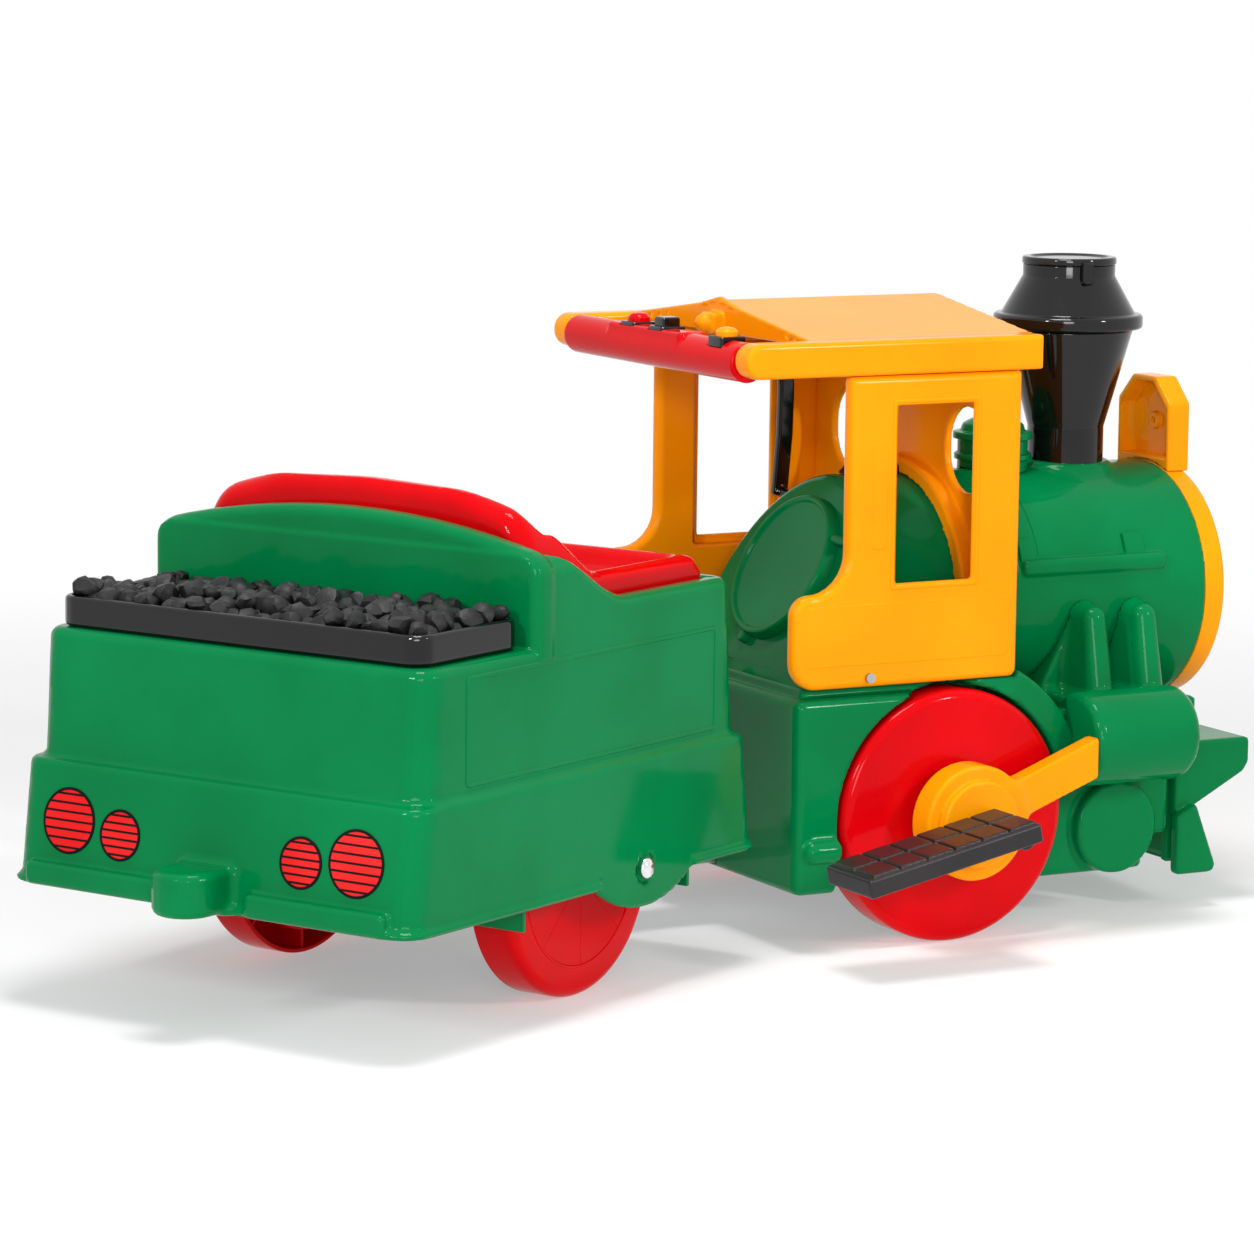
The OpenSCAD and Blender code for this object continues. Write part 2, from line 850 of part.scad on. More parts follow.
module lamp_outline(inset) {
  half = lamp_w / 2 - inset;
  top = lamp_top - inset;
  low = boiler_z;
  polygon([[-half, low], [half, low], [half, top - lamp_cut], [half - lamp_cut, top], [lamp_cut - half, top],
    [-half, top - lamp_cut]]);
}

module headlamp_housing() {
  back = boiler_front;
  lens_z = lamp_top - lamp_w / 2;
  on_loco() color(YELLOW) difference() {
    cross_plate(back, back + lamp_d) lamp_outline(0);
    intersection() {
      cross_plate(back - overrun, back + lamp_d - skin) lamp_outline(skin);
      block(back - overrun, back + lamp_d, -lamp_w, lamp_w, boiler_z + boiler_r + skin, lamp_top);
    }
    bar_x(boiler_hold, back - overrun, back + lamp_d + overrun, 0, boiler_z);
    bar_x(lens_r, back, back + lamp_d + overrun, 0, lens_z);
  }
}

module headlamp_lens() {
  lens_z = lamp_top - lamp_w / 2;
  face = boiler_front + lamp_d;
  on_loco() color([0.9, 0.92, 0.95]) bar_x(lens_r - seat_gap, face - skin, face + relief, 0, lens_z);
}

// A turned shape: pairs of radius and height, hollowed to the skin
module turned(profile) {
  rotate_extrude() polygon(profile);
}

module funnel_base() {
  foot = boiler_z + boiler_r / 2;
  on_loco() color(BLACK) difference() {
    translate([funnel_x, 0, 0]) turned([[funnel_foot_r - skin, foot], [funnel_foot_r, foot],
      [funnel_foot_r, funnel_foot_z], [funnel_cone_r, flange_z], [funnel_cone_r - skin, flange_z],
      [funnel_foot_r - skin, funnel_foot_z]]);
    bar_x(boiler_hold, 0, boiler_front, 0, boiler_z);
  }
}

module funnel_top() {
  rim_z = flange_z + flange_h;
  lip_in = funnel_cone_r - 2 * skin;
  on_loco() color(BLACK) translate([funnel_x, 0, 0]) turned([[lip_in, flange_z + seat_gap],
    [flange_r, flange_z + seat_gap], [flange_r, rim_z], [crown_r, rim_z], [neck_r, neck_z],
    [neck_r, lid_z], [neck_r - skin, lid_z], [neck_r - skin, neck_z], [lip_in, rim_z]]);
}

module funnel_lid() {
  tab = 9;
  plug = neck_r - skin - seat_gap;
  on_loco() color(BLACK) translate([funnel_x, 0, lid_z + seat_gap]) {
    cylinder(r = lid_r, h = lid_h);
    translate([0, 0, -lid_h]) cylinder(r = plug, h = 2 * lid_h);
    translate([0, -lid_r, 0]) cylinder(r = tab, h = lid_h / 2);
  }
}

module whistle_dome() {
  foot = boiler_z + boiler_r / 2;
  on_loco() color(GREEN) difference() {
    translate([dome_x, 0, 0]) turned([[0, foot], [dome_foot_r, foot], [dome_foot_r, dome_foot_z],
      [dome_r, dome_foot_z], [dome_r, dome_z], [dome_knob_r, dome_z + dome_knob_r / 2], [dome_knob_r, dome_top],
      [0, dome_top]]);
    bar_x(boiler_hold, 0, boiler_front, 0, boiler_z);
  }
}

// Steam cylinder with its two pipes, right side

module steam_pipe(x) {
  foot = [x, -pipe_foot, steam_z];
  head = [x, -boiler_r + relief, pipe_top];
  lean = atan2(head[1] - foot[1], head[2] - foot[2]);
  length = norm(head - foot);
  translate(foot) rotate([-lean, 0, 0]) cylinder(r = pipe_r, h = length);
  translate(head) sphere(pipe_r + joint_swell);
}

module steam_cylinder(side) {
  on_loco() color(GREEN) on_side(side) difference() {
    union() {
      bar_x(steam_r, steam_x0, steam_x1, -steam_y, steam_z);
      for (i = [0, 1]) steam_pipe(pipe_x + i * pipe_pitch);
      block(steam_x0 + skin, steam_x1 - skin, -steam_y, -frame_half - seat_gap, steam_z - pipe_r,
        steam_z + pipe_r);
    }
    bar_x(steam_r - skin, steam_x0 + skin, steam_x1 - skin, -steam_y, steam_z);
    bar_x(tenon_r + seat_gap, steam_x0 - overrun, steam_x0 + 2 * skin, -arm_y, tenon_z);
    bar_x(boiler_hold, 0, boiler_front, 0, boiler_z);
    block(0, boiler_front, -frame_half - seat_gap, frame_half, 0, frame_top + seat_gap);
  }
}

module steam_cylinder_right() {
  steam_cylinder(RIGHT);
}

module steam_cylinder_left() {
  steam_cylinder(LEFT);
}

// Cab

cab_screw_xs = [-91];
cab_screw_z = 250;
screw_r = 2;
screw_head_r = 4.5;
screw_head_h = 2.4;

module cab_outline() {
  translate([cab_rear, deck_z]) square([cab_front_x - cab_rear, cab_top - deck_z]);
  rounded(cab_low_rear, cab_rear + cab_fillet, deck_z, cab_low_top, cab_low_r);
  difference() {
    translate([cab_rear - cab_fillet, cab_low_top - cab_low_r])
      square([cab_fillet + overrun, cab_fillet + cab_low_r]);
    translate([cab_rear - cab_fillet, cab_low_top + cab_fillet]) circle(cab_fillet);
    translate([cab_low_rear, cab_low_top - cab_low_r - overrun]) square([cab_low_r, cab_low_r]);
  }
}

module cab_wall(side) {
  window_r = 5;
  panel_in = 9;
  on_loco() color(YELLOW) on_side(side) difference() {
    union() {
      side_plate(-cab_half, -cab_in) cab_outline();
      side_plate(-cab_half - relief, -cab_half + overrun) {
        rounded(window_x0 - window_frame, window_x1 + window_frame, window_z0 - window_frame,
          window_z1 + window_frame, window_r + window_frame);
        rounded(pill_x, pill_x + pill_w, pill_z0, pill_z1, pill_w / 2 - seat_gap);
        rounded(cab_low_rear + panel_in, cab_front_x - panel_in, deck_z + panel_in * 2, panel_top, panel_in);
      }
    }
    side_plate(-cab_half - overrun, -cab_in + overrun)
      rounded(window_x0, window_x1, window_z0, window_z1, window_r);
    for (x = cab_screw_xs) bar_y(screw_r, -cab_half - overrun, -cab_in + overrun, x, cab_screw_z);
  }
}

module cab_wall_right() {
  cab_wall(RIGHT);
}

module cab_wall_left() {
  cab_wall(LEFT);
}

module cab_front() {
  half = cab_in - seat_gap;
  on_loco() color(YELLOW) difference() {
    block(cab_wall_x, cab_front_x, -half, half, deck_z, cab_top);
    bar_x(boiler_hold, cab_wall_x - overrun, cab_front_x + overrun, 0, boiler_z);
    block(cab_wall_x - overrun, cab_front_x + overrun, -boiler_hold, boiler_hold, deck_z - overrun, boiler_z);
    cross_plate(cab_wall_x - overrun, cab_front_x + overrun) for (y = [-oval_y, oval_y], z = [-1, 1])
      translate([y, oval_z + z * oval_stretch / 2]) circle(oval_r);
  }
}

module cab_screws() {
  on_loco() color(STEEL) both_sides() for (x = cab_screw_xs) {
    bar_y(screw_head_r, -cab_half - relief - screw_head_h, -cab_half, x, cab_screw_z);
    bar_y(screw_r - run_gap, -cab_half, -cab_in + skin * 3, x, cab_screw_z);
  }
}

// Roof and handlebar

module roof_panel_outline() {
  eave = rail_top - roof_t;
  polygon([[-rail_in - overrun, eave], [0, ridge_z - roof_t], [rail_in + overrun, eave],
    [rail_in + overrun, rail_top], [0, ridge_z], [-rail_in - overrun, rail_top]]);
}

module gable_outline() {
  eave = rail_top - roof_t;
  polygon([[-rail_in, cab_top], [rail_in, cab_top], [rail_in, eave], [0, ridge_z - roof_t / 2],
    [-rail_in, eave]]);
}

module roof() {
  on_loco() color(YELLOW) difference() {
    union() {
      both_sides() side_plate(-cab_half, -rail_in)
        rounded(rails_rear, roof_front, cab_top + seat_gap, rail_top, rail_h / 2 - seat_gap);
      both_sides() block(0, roof_front, -cab_half, -rail_in, cab_top + seat_gap, rail_top);
      cross_plate(roof_rear, roof_front) roof_panel_outline();
      cross_plate(roof_front - skin, roof_front) gable_outline();
      cross_plate(roof_rear, roof_rear + skin) difference() {
        gable_outline();
        translate([-rail_in, cab_top - overrun]) square([2 * rail_in, rail_h - roof_t + overrun]);
      }
      block(roof_rear - knob_block / 2, roof_rear + skin, -knob_block / 2, knob_block / 2, rail_top - roof_t,
        ridge_z - 2 * roof_t);
      translate([roof_rear - knob_block / 2, 0, (rail_top + ridge_z - 3 * roof_t) / 2]) sphere(knob_r);
    }
    bar_y(core_r, -core_half - seat_gap, core_half + seat_gap, grip_x, grip_z);
  }
}

module grip_core() {
  wall = 1.6;
  on_loco() color(STEEL) difference() {
    bar_y(core_r, -core_half, core_half, grip_x, grip_z);
    bar_y(core_r - wall, -core_half - overrun, core_half + overrun, grip_x, grip_z);
  }
}

button_ys = [red_y, black_y, yellow_y];

module button_base(y, gap) {
  block(grip_x - base_w / 2 - gap, grip_x + base_w / 2 + gap, y - base_w / 2 - gap, y + base_w / 2 + gap,
    base_low - gap, base_top);
}

module grip() {
  on_loco() color(RED) difference() {
    bar_y(grip_r, -grip_half, grip_half, grip_x, grip_z);
    bar_y(core_r, -grip_half - overrun, grip_half + overrun, grip_x, grip_z);
    for (y = button_ys) {
      button_base(y, seat_gap / 2);
      bar_z(stem_r + seat_gap, grip_z, base_top, grip_x, y);
    }
  }
}

module button_bases() {
  on_loco() color(BLACK) for (y = button_ys) difference() {
    button_base(y, 0);
    bar_z(stem_r + run_gap, base_low - overrun, base_top + overrun, grip_x, y);
    bar_z(spring_well, spring_floor, base_top + overrun, grip_x, y);
  }
}

module button_stem(y) {
  bar_z(stem_r, stem_low, cap_low + overrun / 2, grip_x, y);
}

module round_button(y) {
  bar_z(button_r, cap_low, cap_low + button_h / 2, grip_x, y);
  translate([grip_x, y, cap_low + button_h / 2]) intersection() {
    translate([0, 0, button_h / 2 - button_r * 2]) sphere(button_r * 2);
    cylinder(r = button_r, h = button_h);
  }
  button_stem(y);
}

module button_red() {
  on_loco() color(RED) round_button(red_y);
}

module button_black() {
  half_share = 0.9;
  half = button_r * half_share;
  on_loco() color(BLACK) {
    block(grip_x - half, grip_x + half, black_y - half, black_y + half, cap_low, cap_low + button_h);
    button_stem(black_y);
  }
}

module button_yellow() {
  on_loco() color(YELLOW) round_button(yellow_y);
}

// A wire wound round Z from z0 to z1
module coil(r, wire, turns, z0, z1) {
  steps = 14;
  ring = 6;
  count = turns * steps;
  points = [for (i = [0 : count]) for (j = [0 : ring - 1])
    let (a = 360 * i / steps, b = 360 * j / ring, reach = r + wire * cos(b))
    [reach * cos(a), reach * sin(a), z0 + wire + (z1 - z0 - 2 * wire) * i / count + wire * sin(b)]];
  sides = [for (i = [0 : count - 1]) for (j = [0 : ring - 1])
    let (k = (j + 1) % ring)
    [i * ring + j, (i + 1) * ring + j, (i + 1) * ring + k, i * ring + k]];
  ends = [[for (j = [0 : ring - 1]) j], [for (j = [ring - 1 : -1 : 0]) count * ring + j]];
  polyhedron(points, concat(sides, ends));
}

module return_springs() {
  turns = 4;
  coil_gap = 3.5;
  coil_r = pin_r + coil_gap;
  coil_wire = 1;
  on_loco() color(STEEL) {
    for (y = button_ys) translate([grip_x, y, 0])
      coil(spring_r, spring_wire, turns, spring_floor + run_gap, cap_low - run_gap);
    translate([0, 0, front_r]) rotate([90, 0, 0])
      coil(coil_r, coil_wire, turns, rod_face + seat_gap, pedal_in + knuckle_w - seat_gap);
  }
}

// Wiring from the handlebar to the boiler

loom_wire_r = 3.8;
joint_swell = 0.15;
loom_pitch = 8.2;
loom_x = 32;
loom_y = cab_in - loom_wire_r - 1;
loom_angle = 38;
loom_lift = 26;
loom_in = boiler_in - loom_lift / 2;
loom_out = boiler_r + loom_lift;

function loom_path(x) = [[x, loom_y, cab_top - overrun], [x, loom_y, boiler_z + boiler_r],
  [x, loom_out * cos(loom_angle), boiler_z + loom_out * sin(loom_angle)],
  [x, loom_in * cos(loom_angle), boiler_z + loom_in * sin(loom_angle)]];

module rod_between(a, b, r) {
  d = b - a;
  translate(a) rotate([0, acos(d[2] / norm(d)), atan2(d[1], d[0])]) cylinder(r = r, h = norm(d));
}

module wire(path, r) {
  for (i = [0 : len(path) - 2]) rod_between(path[i], path[i + 1], r);
  for (p = path) translate(p) sphere(r + joint_swell);
}

module loom_hole() {
  for (i = [-1, 0, 1]) rod_between([loom_x + i * loom_pitch, 0, boiler_z],
    [loom_x + i * loom_pitch, loom_out * cos(loom_angle), boiler_z + loom_out * sin(loom_angle)],
    loom_wire_r + seat_gap);
}

module wiring_loom() {
  on_loco() color(BLACK) for (i = [-1, 0, 1]) wire(loom_path(loom_x + i * loom_pitch), loom_wire_r);
}

module sound_unit() {
  length = 70;
  half = 36;
  high = 34;
  low = boiler_z - sqrt(boiler_in * boiler_in - half * half) + seat_gap;
  on_loco() color(BLACK) block(cab_front_x + skin, cab_front_x + skin + length, -half, half, low, low + high);
}

module speaker() {
  cone_r = 46;
  magnet_r = 22;
  depth = 16;
  face = boiler_front + front_t - skin - seat_gap;
  on_loco() color(BLACK) {
    bar_x(cone_r, face - skin, face, 0, boiler_z);
    translate([face - skin - depth, 0, boiler_z]) rotate([0, 90, 0])
      cylinder(r1 = magnet_r, r2 = cone_r - skin, h = depth);
    bar_x(magnet_r, face - skin - 2 * depth, face - skin - depth, 0, boiler_z);
  }
}

// Battery, motor and gears

module battery_tray() {
  half = well_wall - skin - seat_gap;
  x1 = battery_x + battery_l + skin;
  flange = 26;
  on_loco() color(BLACK) {
    block(battery_x - skin, x1, -half, half, tray_z, battery_z);
    for (y = [-half, half - skin]) block(battery_x - skin, x1, y, y + skin, tray_z, battery_z + flange);
  }
}

module battery() {
  post = 8;
  on_loco() color(BLACK) {
    block(battery_x, battery_x + battery_l, -battery_w / 2, battery_w / 2, battery_z, battery_z + battery_h);
    for (y = [-battery_w / 3, battery_w / 3])
      bar_z(post / 2, battery_z + battery_h, battery_z + battery_h + post, battery_x + 2 * post, y);
  }
}

module motor() {
  on_loco() color(STEEL) difference() {
    bar_y(motor_r, motor_y, gearbox_y - seat_gap, pinion_x, pinion_z);
    bar_y(shaft_r + run_gap, gearbox_y - motor_l / 2, gearbox_y, pinion_x, pinion_z);
  }
}

// Spur gear with straight flanked teeth, one tooth at the angle start
module gear(teeth, start, width) {
  pitch_r = gear_module * teeth / 2;
  root_share = 1.25;
  tip_height_share = 0.95;
  root = pitch_r - root_share * gear_module;
  tip = pitch_r + tip_height_share * gear_module;
  step = 360 / teeth;
  foot_share = 0.33;
  tip_share = 0.13;
  linear_extrude(width) polygon([for (i = [0 : teeth - 1]) for (corner = [[root, -foot_share],
    [tip, -tip_share], [tip, tip_share], [root, foot_share]])
    let (a = start + (i + corner[1]) * step) corner[0] * [cos(a), sin(a)]]);
}

module motor_pinion() {
  on_loco() color(STEEL) {
    translate([pinion_x, gear_y + gear_w, pinion_z]) rotate([90, 0, 0])
      gear(pinion_teeth, 180 + mesh_angle, gear_w);
    bar_y(shaft_r, gearbox_y - motor_l / 2 + overrun, gear_y + run_gap, pinion_x, pinion_z);
  }
}

module final_gear() {
  on_loco() color([0.9, 0.9, 0.86]) difference() {
    union() {
      translate([0, gear_y + gear_w, front_r]) rotate([90, 0, 0])
        gear(gear_teeth, mesh_angle + 180 / gear_teeth, gear_w);
      bar_y(sleeve_r, gear_y, front_in - seat_gap, 0, front_r);
    }
    bar_y(axle_r + run_gap, gear_y - overrun, front_in + overrun, 0, front_r);
  }
}

module gearbox_housing() {
  y1 = gearbox_y + gearbox_w - box_wall;
  on_loco() color(BLACK) difference() {
    block(box_x0, box_x1, gearbox_y, y1, box_z0, box_z1);
    block(box_x0 + box_wall, box_x1 - box_wall, gearbox_y + box_wall, y1 + overrun, box_z0 + box_wall,
      box_z1 - box_wall);
    bar_y(axle_r, gearbox_y - overrun, gearbox_y + gearbox_w, 0, front_r);
    bar_y(shaft_r + seat_gap, gearbox_y - overrun, gearbox_y + gearbox_w, pinion_x, pinion_z);
  }
}

module gearbox_cover() {
  y0 = gearbox_y + gearbox_w - box_wall;
  y1 = gearbox_y + gearbox_w;
  post_r = 6;
  in = post_r + box_wall;
  on_loco() color(BLACK) difference() {
    union() {
      block(box_x0, box_x1, y0, y1, box_z0, box_z1);
      for (x = [box_x0 + in, box_x1 - in], z = [box_z0 + in, box_z1 - in])
        bar_y(post_r, y1, well_wall - skin - run_gap, x, z);
    }
    bar_y(sleeve_r + pass_gap, y0 - overrun, y1 + overrun, 0, front_r);
  }
}

// Wheels: drawn with the inner side on Z = 0 and the face up

module round_edge(r, width) {
  translate([0, 0, width - wheel_round]) rotate_extrude() difference() {
    translate([r - wheel_round, 0]) square(wheel_round + overrun);
    translate([r - wheel_round, 0]) circle(wheel_round);
  }
}

module wheel(r, width, hub_h) {
  rib = 4;
  difference() {
    union() {
      difference() {
        cylinder(r = r, h = width);
        translate([0, 0, -overrun]) cylinder(r = r - wheel_skin, h = width - wheel_skin + overrun);
        round_edge(r, width);
      }
      intersection() {
        cylinder(r = r - wheel_round, h = width - wheel_skin + overrun / 5);
        for (i = [0 : wheel_ribs - 1]) rotate(360 * i / wheel_ribs)
          translate([0, -rib / 2, rib]) cube([r - wheel_round / 2, rib, width - 2 * rib]);
      }
      translate([0, 0, width - hub_h]) cylinder(r = hub_r, h = hub_h - seat_gap);
      intersection() {
        translate([0, 0, width - wheel_round]) cylinder(r = r - wheel_skin / 2, h = wheel_round);
        rotate_extrude() difference() {
          translate([r - 2 * wheel_round, width - 2 * wheel_round]) square(2 * wheel_round);
          translate([r - 2 * wheel_round, width - 2 * wheel_round]) square([wheel_round, wheel_round]);
          translate([r - wheel_round, width - wheel_round]) square(wheel_round);
        }
      }
    }
    translate([0, 0, -2 * width]) cylinder(r = axle_r + run_gap, h = 4 * width);
  }
}

module at_axle(side, outer, width, x, r) {
  on_side(side) translate([x, -outer + width, r]) rotate([90, 0, 0]) children();
}

module front_wheel(side) {
  on_loco() color(RED) at_axle(side, front_out, front_w, 0, front_r) wheel(front_r, front_w, front_w);
}

module front_wheel_right() {
  front_wheel(RIGHT);
}

module front_wheel_left() {
  front_wheel(LEFT);
}

module rear_wheel(side) {
  on_tender() color(RED) at_axle(side, rear_out, rear_w, rear_axle_x, rear_r) {
    wheel(rear_r, rear_w, rear_w + drum_w);
    difference() {
      translate([0, 0, rear_w - wheel_skin / 2]) cylinder(r = face_ring_r, h = wheel_skin / 2 + face_ring / 2);
      translate([0, 0, -overrun]) cylinder(r = face_ring_r - face_ring, h = rear_w + 2 * overrun);
    }
    difference() {
      translate([0, 0, -drum_w]) cylinder(r = drum_r, h = drum_w + wheel_skin * 2);
      translate([0, 0, -drum_w - overrun]) cylinder(r = drum_r - wheel_skin, h = drum_w * 3 + overrun);
    }
  }
}

module rear_wheel_right() {
  rear_wheel(RIGHT);
}

module rear_wheel_left() {
  rear_wheel(LEFT);
}

module front_axle() {
  on_loco() color(STEEL) bar_y(axle_r, -axle_end, axle_end, 0, front_r);
}

module axle_bushes() {
  flange = 3;
  on_loco() color([0.9, 0.9, 0.86]) difference() {
    union() {
      bar_y(axle_r + skin - run_gap, -well_wall, -well_wall + skin, 0, front_r);
      bar_y(axle_r + 2 * skin, -well_wall + skin, -well_wall + skin + flange, 0, front_r);
    }
    bar_y(axle_r, -front_out, 0, 0, front_r);
  }
}

// Rods, pedals and their pins, right side drawn

module rod_bracket(side) {
  arm_end = (steam_x0 - seat_gap) / cos(arm_slope);
  on_loco() color(YELLOW) on_side(side) difference() {
    union() {
      bar_y(rod_hub_r, -rod_in - rod_hub_t, -rod_in, 0, front_r);
      bar_y(rod_ring_r, -rod_face, -rod_in, 0, front_r);
      intersection() {
        translate([0, -arm_y - arm_t / 2, front_r]) rotate([0, -arm_slope, 0])
          translate([0, 0, -arm_w / 2]) cube([arm_end + arm_w, arm_t, arm_w]);
        block(0, steam_x0 - seat_gap, -rod_face, 0, 0, boiler_z);
      }
      bar_x(tenon_r, steam_x0 - tenon_l, steam_x0 + skin, -arm_y, tenon_z);
    }
    difference() {
      bar_y(rod_hub_r - rod_pocket, -rod_in - rod_hub_t + rod_pocket, -rod_in + overrun, 0, front_r);
      bar_y(hub_r, -rod_face, 0, 0, front_r);
    }
    bar_y(axle_r, -axle_end, 0, 0, front_r);
    bar_y(pin_r, -rod_face - overrun, -axle_end + overrun, 0, front_r);
  }
}

module rod_bracket_right() {
  rod_bracket(RIGHT);
}

module rod_bracket_left() {
  rod_bracket(LEFT);
}

module pedal_tiles() {
  tile_l = (pedal_l - tile_gap) / tile_cols;
  tile_w = (pedal_w - tile_gap) / tile_rows;
  for (i = [0 : tile_cols - 1], j = [0 : tile_rows - 1])
    translate([tile_gap - pedal_l + i * tile_l, -pedal_out + tile_gap + j * tile_w,
      pedal_t - tile_h - skin / 4]) cube([tile_l - tile_gap, tile_w - tile_gap, tile_h + skin / 4]);
}

module pedal(side) {
  cheek = 2;
  on_loco() color(BLACK) on_side(side) difference() {
    union() {
      translate([0, 0, front_r + pedal_drop]) rotate([0, -pedal_slope, 0]) {
        translate([-pedal_l, -pedal_out, 0]) cube([pedal_l, pedal_w, pedal_t - tile_h]);
        pedal_tiles();
      }
      bar_y(knuckle_r, -pedal_out, -pedal_in - knuckle_w, 0, front_r);
    }
    bar_y(pin_r + run_gap, -pedal_out - overrun, -pedal_in + overrun, 0, front_r);
    bar_y(knuckle_r + cheek, -pedal_in - knuckle_w, -pedal_in + overrun, 0, front_r);
  }
}

module pedal_right() {
  pedal(RIGHT);
}

module footrest_left() {
  pedal(LEFT);
}

module pedal_pins() {
  on_loco() color(STEEL) both_sides() bar_y(pin_r, -pedal_out, -axle_end - run_gap, 0, front_r);
}

module pedal_switch() {
  box = 16;
  y0 = -rod_in - rod_hub_t + rod_pocket + seat_gap;
  on_loco() color(BLACK) block(hub_r + skin, hub_r + skin + box, y0, y0 + box, front_r - box,
    front_r + box / 2);
}

// Coupling

module loco_tongue() {
  on_loco() color(STEEL) difference() {
    union() {
      block(tongue_x0, tongue_x1, -tongue_half, tongue_half, tongue_z, washer_z);
      bar_z(tongue_half, tongue_z, washer_z, tongue_x0, 0);
    }
    bar_z(king_r, tongue_z - overrun, washer_z + overrun, tongue_x0, 0);
  }
}

module kingpin() {
  on_loco() color(STEEL) {
    bar_z(king_r, tongue_z - washer_t - king_head_h, drawbar_top + washer_t, tongue_x0, 0);
    bar_z(king_head_r, drawbar_top + washer_t, drawbar_top + washer_t + king_head_h, tongue_x0, 0);
    bar_z(king_head_r, tongue_z - washer_t - king_head_h, tongue_z - washer_t, tongue_x0, 0);
  }
}

module king_washers() {
  washer_r = 19;
  on_loco() color(STEEL) difference() {
    for (z = [tongue_z - washer_t, washer_z, drawbar_top])
      bar_z(washer_r, z + run_gap, z + washer_t - run_gap, tongue_x0, 0);
    bar_z(king_r, 0, boiler_z, tongue_x0, 0);
  }
}

// Tender

function smooth(t) = (1 - cos(180 * t)) / 2;

// Points of a wall top that comes down smoothly from (x0, z0) to (x1, z1)
function sweep(x0, z0, x1, z1, steps) =
  [for (i = [0 : steps]) [x0 + (x1 - x0) * i / steps, z0 + (z1 - z0) * smooth(i / steps)]];

module upper_side_outline() {
  steps = 12;
  rear_foot = coal_deck_rear / 2;
  front_foot = ledge_front - overrun;
  polygon(concat([[rear_foot, ledge_z - skin], [coal_deck_rear, coal_deck], [backboard_x, coal_deck],
    [backboard_x, backboard_side]],
    sweep(backboard_x + backboard_t - skin, backboard_side, wall_low_x, wall_top, steps),
    [[wall_front, wall_top], [front_foot, ledge_z - skin]]));
}

module backboard_outline(top, half) {
  intersection() {
    translate([0, top - arc_r]) circle(arc_r, $fn = 180);
    rounded(-half, half, ledge_z, top + overrun, corner_r);
  }
}

module shoulder_outline() {
  rounded(-tender_half, tender_half, ledge_z - corner_r, backboard_side, corner_r);
}

// Lower half of the tender: the skirt up to its ledge, with lip, lobes, bumper and hitch
module skirt_outside() {
  intersection() {
    side_plate(-skirt_half, skirt_half) polygon([[-skirt_flare, skirt_low],
      [ledge_front + skirt_flare, skirt_low], [ledge_front, ledge_z], [0, ledge_z]]);
    linear_extrude(ledge_z + overrun)
      rounded(-skirt_flare, ledge_front + skirt_flare, -skirt_half, skirt_half, corner_r);
  }
  translate([0, 0, skirt_low]) linear_extrude(lip) rounded(lip_rear, lip_front, -lip_half, lip_half, lip_r);
  both_sides() {
    intersection() {
      bar_y(lobe_r, -skirt_half, -shell_in, cap_x, lobe_low + lobe_r);
      block(cap_x - lobe_r, cap_x + lobe_r, -skirt_half, -shell_in, lobe_low - overrun, skirt_low + skin);
    }
    bumper();
  }
  hitch_lug();
}

module side_panel() {
  x0 = 70;
  x1 = 440;
  foot = 8;
  drop = 10;
  z0 = ledge_z + foot;
  z1 = coal_deck - drop;
  side_plate(-tender_half - side_relief, -tender_half + skin / 2)
    translate([x0, z0]) square([x1 - x0, z1 - z0]);
}

module bumper() {
  band = 20;
  notch = 46;
  end = skirt_half - corner_r;
  block(lip_rear, 0, -end, -notch, skirt_low, skirt_low + band);
}

module hitch_lug() {
  bar_z(hitch_half, hitch_z, hitch_z + hitch_h, hitch_x, 0);
  block(hitch_x, 0, -hitch_half, hitch_half, hitch_z, hitch_z + hitch_h);
}

module tender_skirt() {
  low = lobe_low - overrun;
  on_tender() color(GREEN) difference() {
    skirt_outside();
    block(skin, ledge_front - skin, -shell_in, shell_in, low, ledge_z - skin);
    block(coal_deck_rear + skin, wall_front - skin, -body_in, body_in, low, ledge_z + overrun);
    both_sides() block(cap_x - lobe_half, cap_x + lobe_half, -lip_half - overrun, -skirt_half, low, ledge_z);
    bar_z(hitch_bore_r, hitch_z - overrun, hitch_z + hitch_depth, hitch_x, 0);
    bar_y(bolt_r, -lip_half, lip_half, cap_x, cap_z);
  }
}

// Upper half of the tender: coal deck, backboard and the walls round the seat, set on the ledge
module tender_body() {
  low = ledge_z - corner_r;
  rear_foot = coal_deck_rear / 2;
  on_tender() color(GREEN) difference() {
    union() {
      intersection() {
        side_plate(-tender_half, tender_half) upper_side_outline();
        linear_extrude(backboard_top) rounded(rear_foot, ledge_front, -tender_half, tender_half, corner_r);
        cross_plate(0, ledge_front) shoulder_outline();
      }
      cross_plate(backboard_x, backboard_x + backboard_t) backboard_outline(backboard_top, tender_half);
      both_sides() side_panel();
    }
    block(-rear_foot, 2 * ledge_front, -skirt_half, skirt_half, low, ledge_z + seat_gap);
    block(coal_deck_rear + skin, wall_front - skin, -body_in, body_in, low, coal_deck - skin);
    block(seat_x0 - opening_gap, seat_x1 + opening_gap, -seat_half - opening_gap, seat_half + opening_gap, low,
      backboard_top * 2);
    block(backboard_x + skin, backboard_x + backboard_t - skin, -backboard_hollow, backboard_hollow, low,
      backboard_side - skin);
    both_sides() block(seat_x0, seat_x1, -body_in, -seat_half - opening_gap - skin, low, wall_top - skin);
  }
}

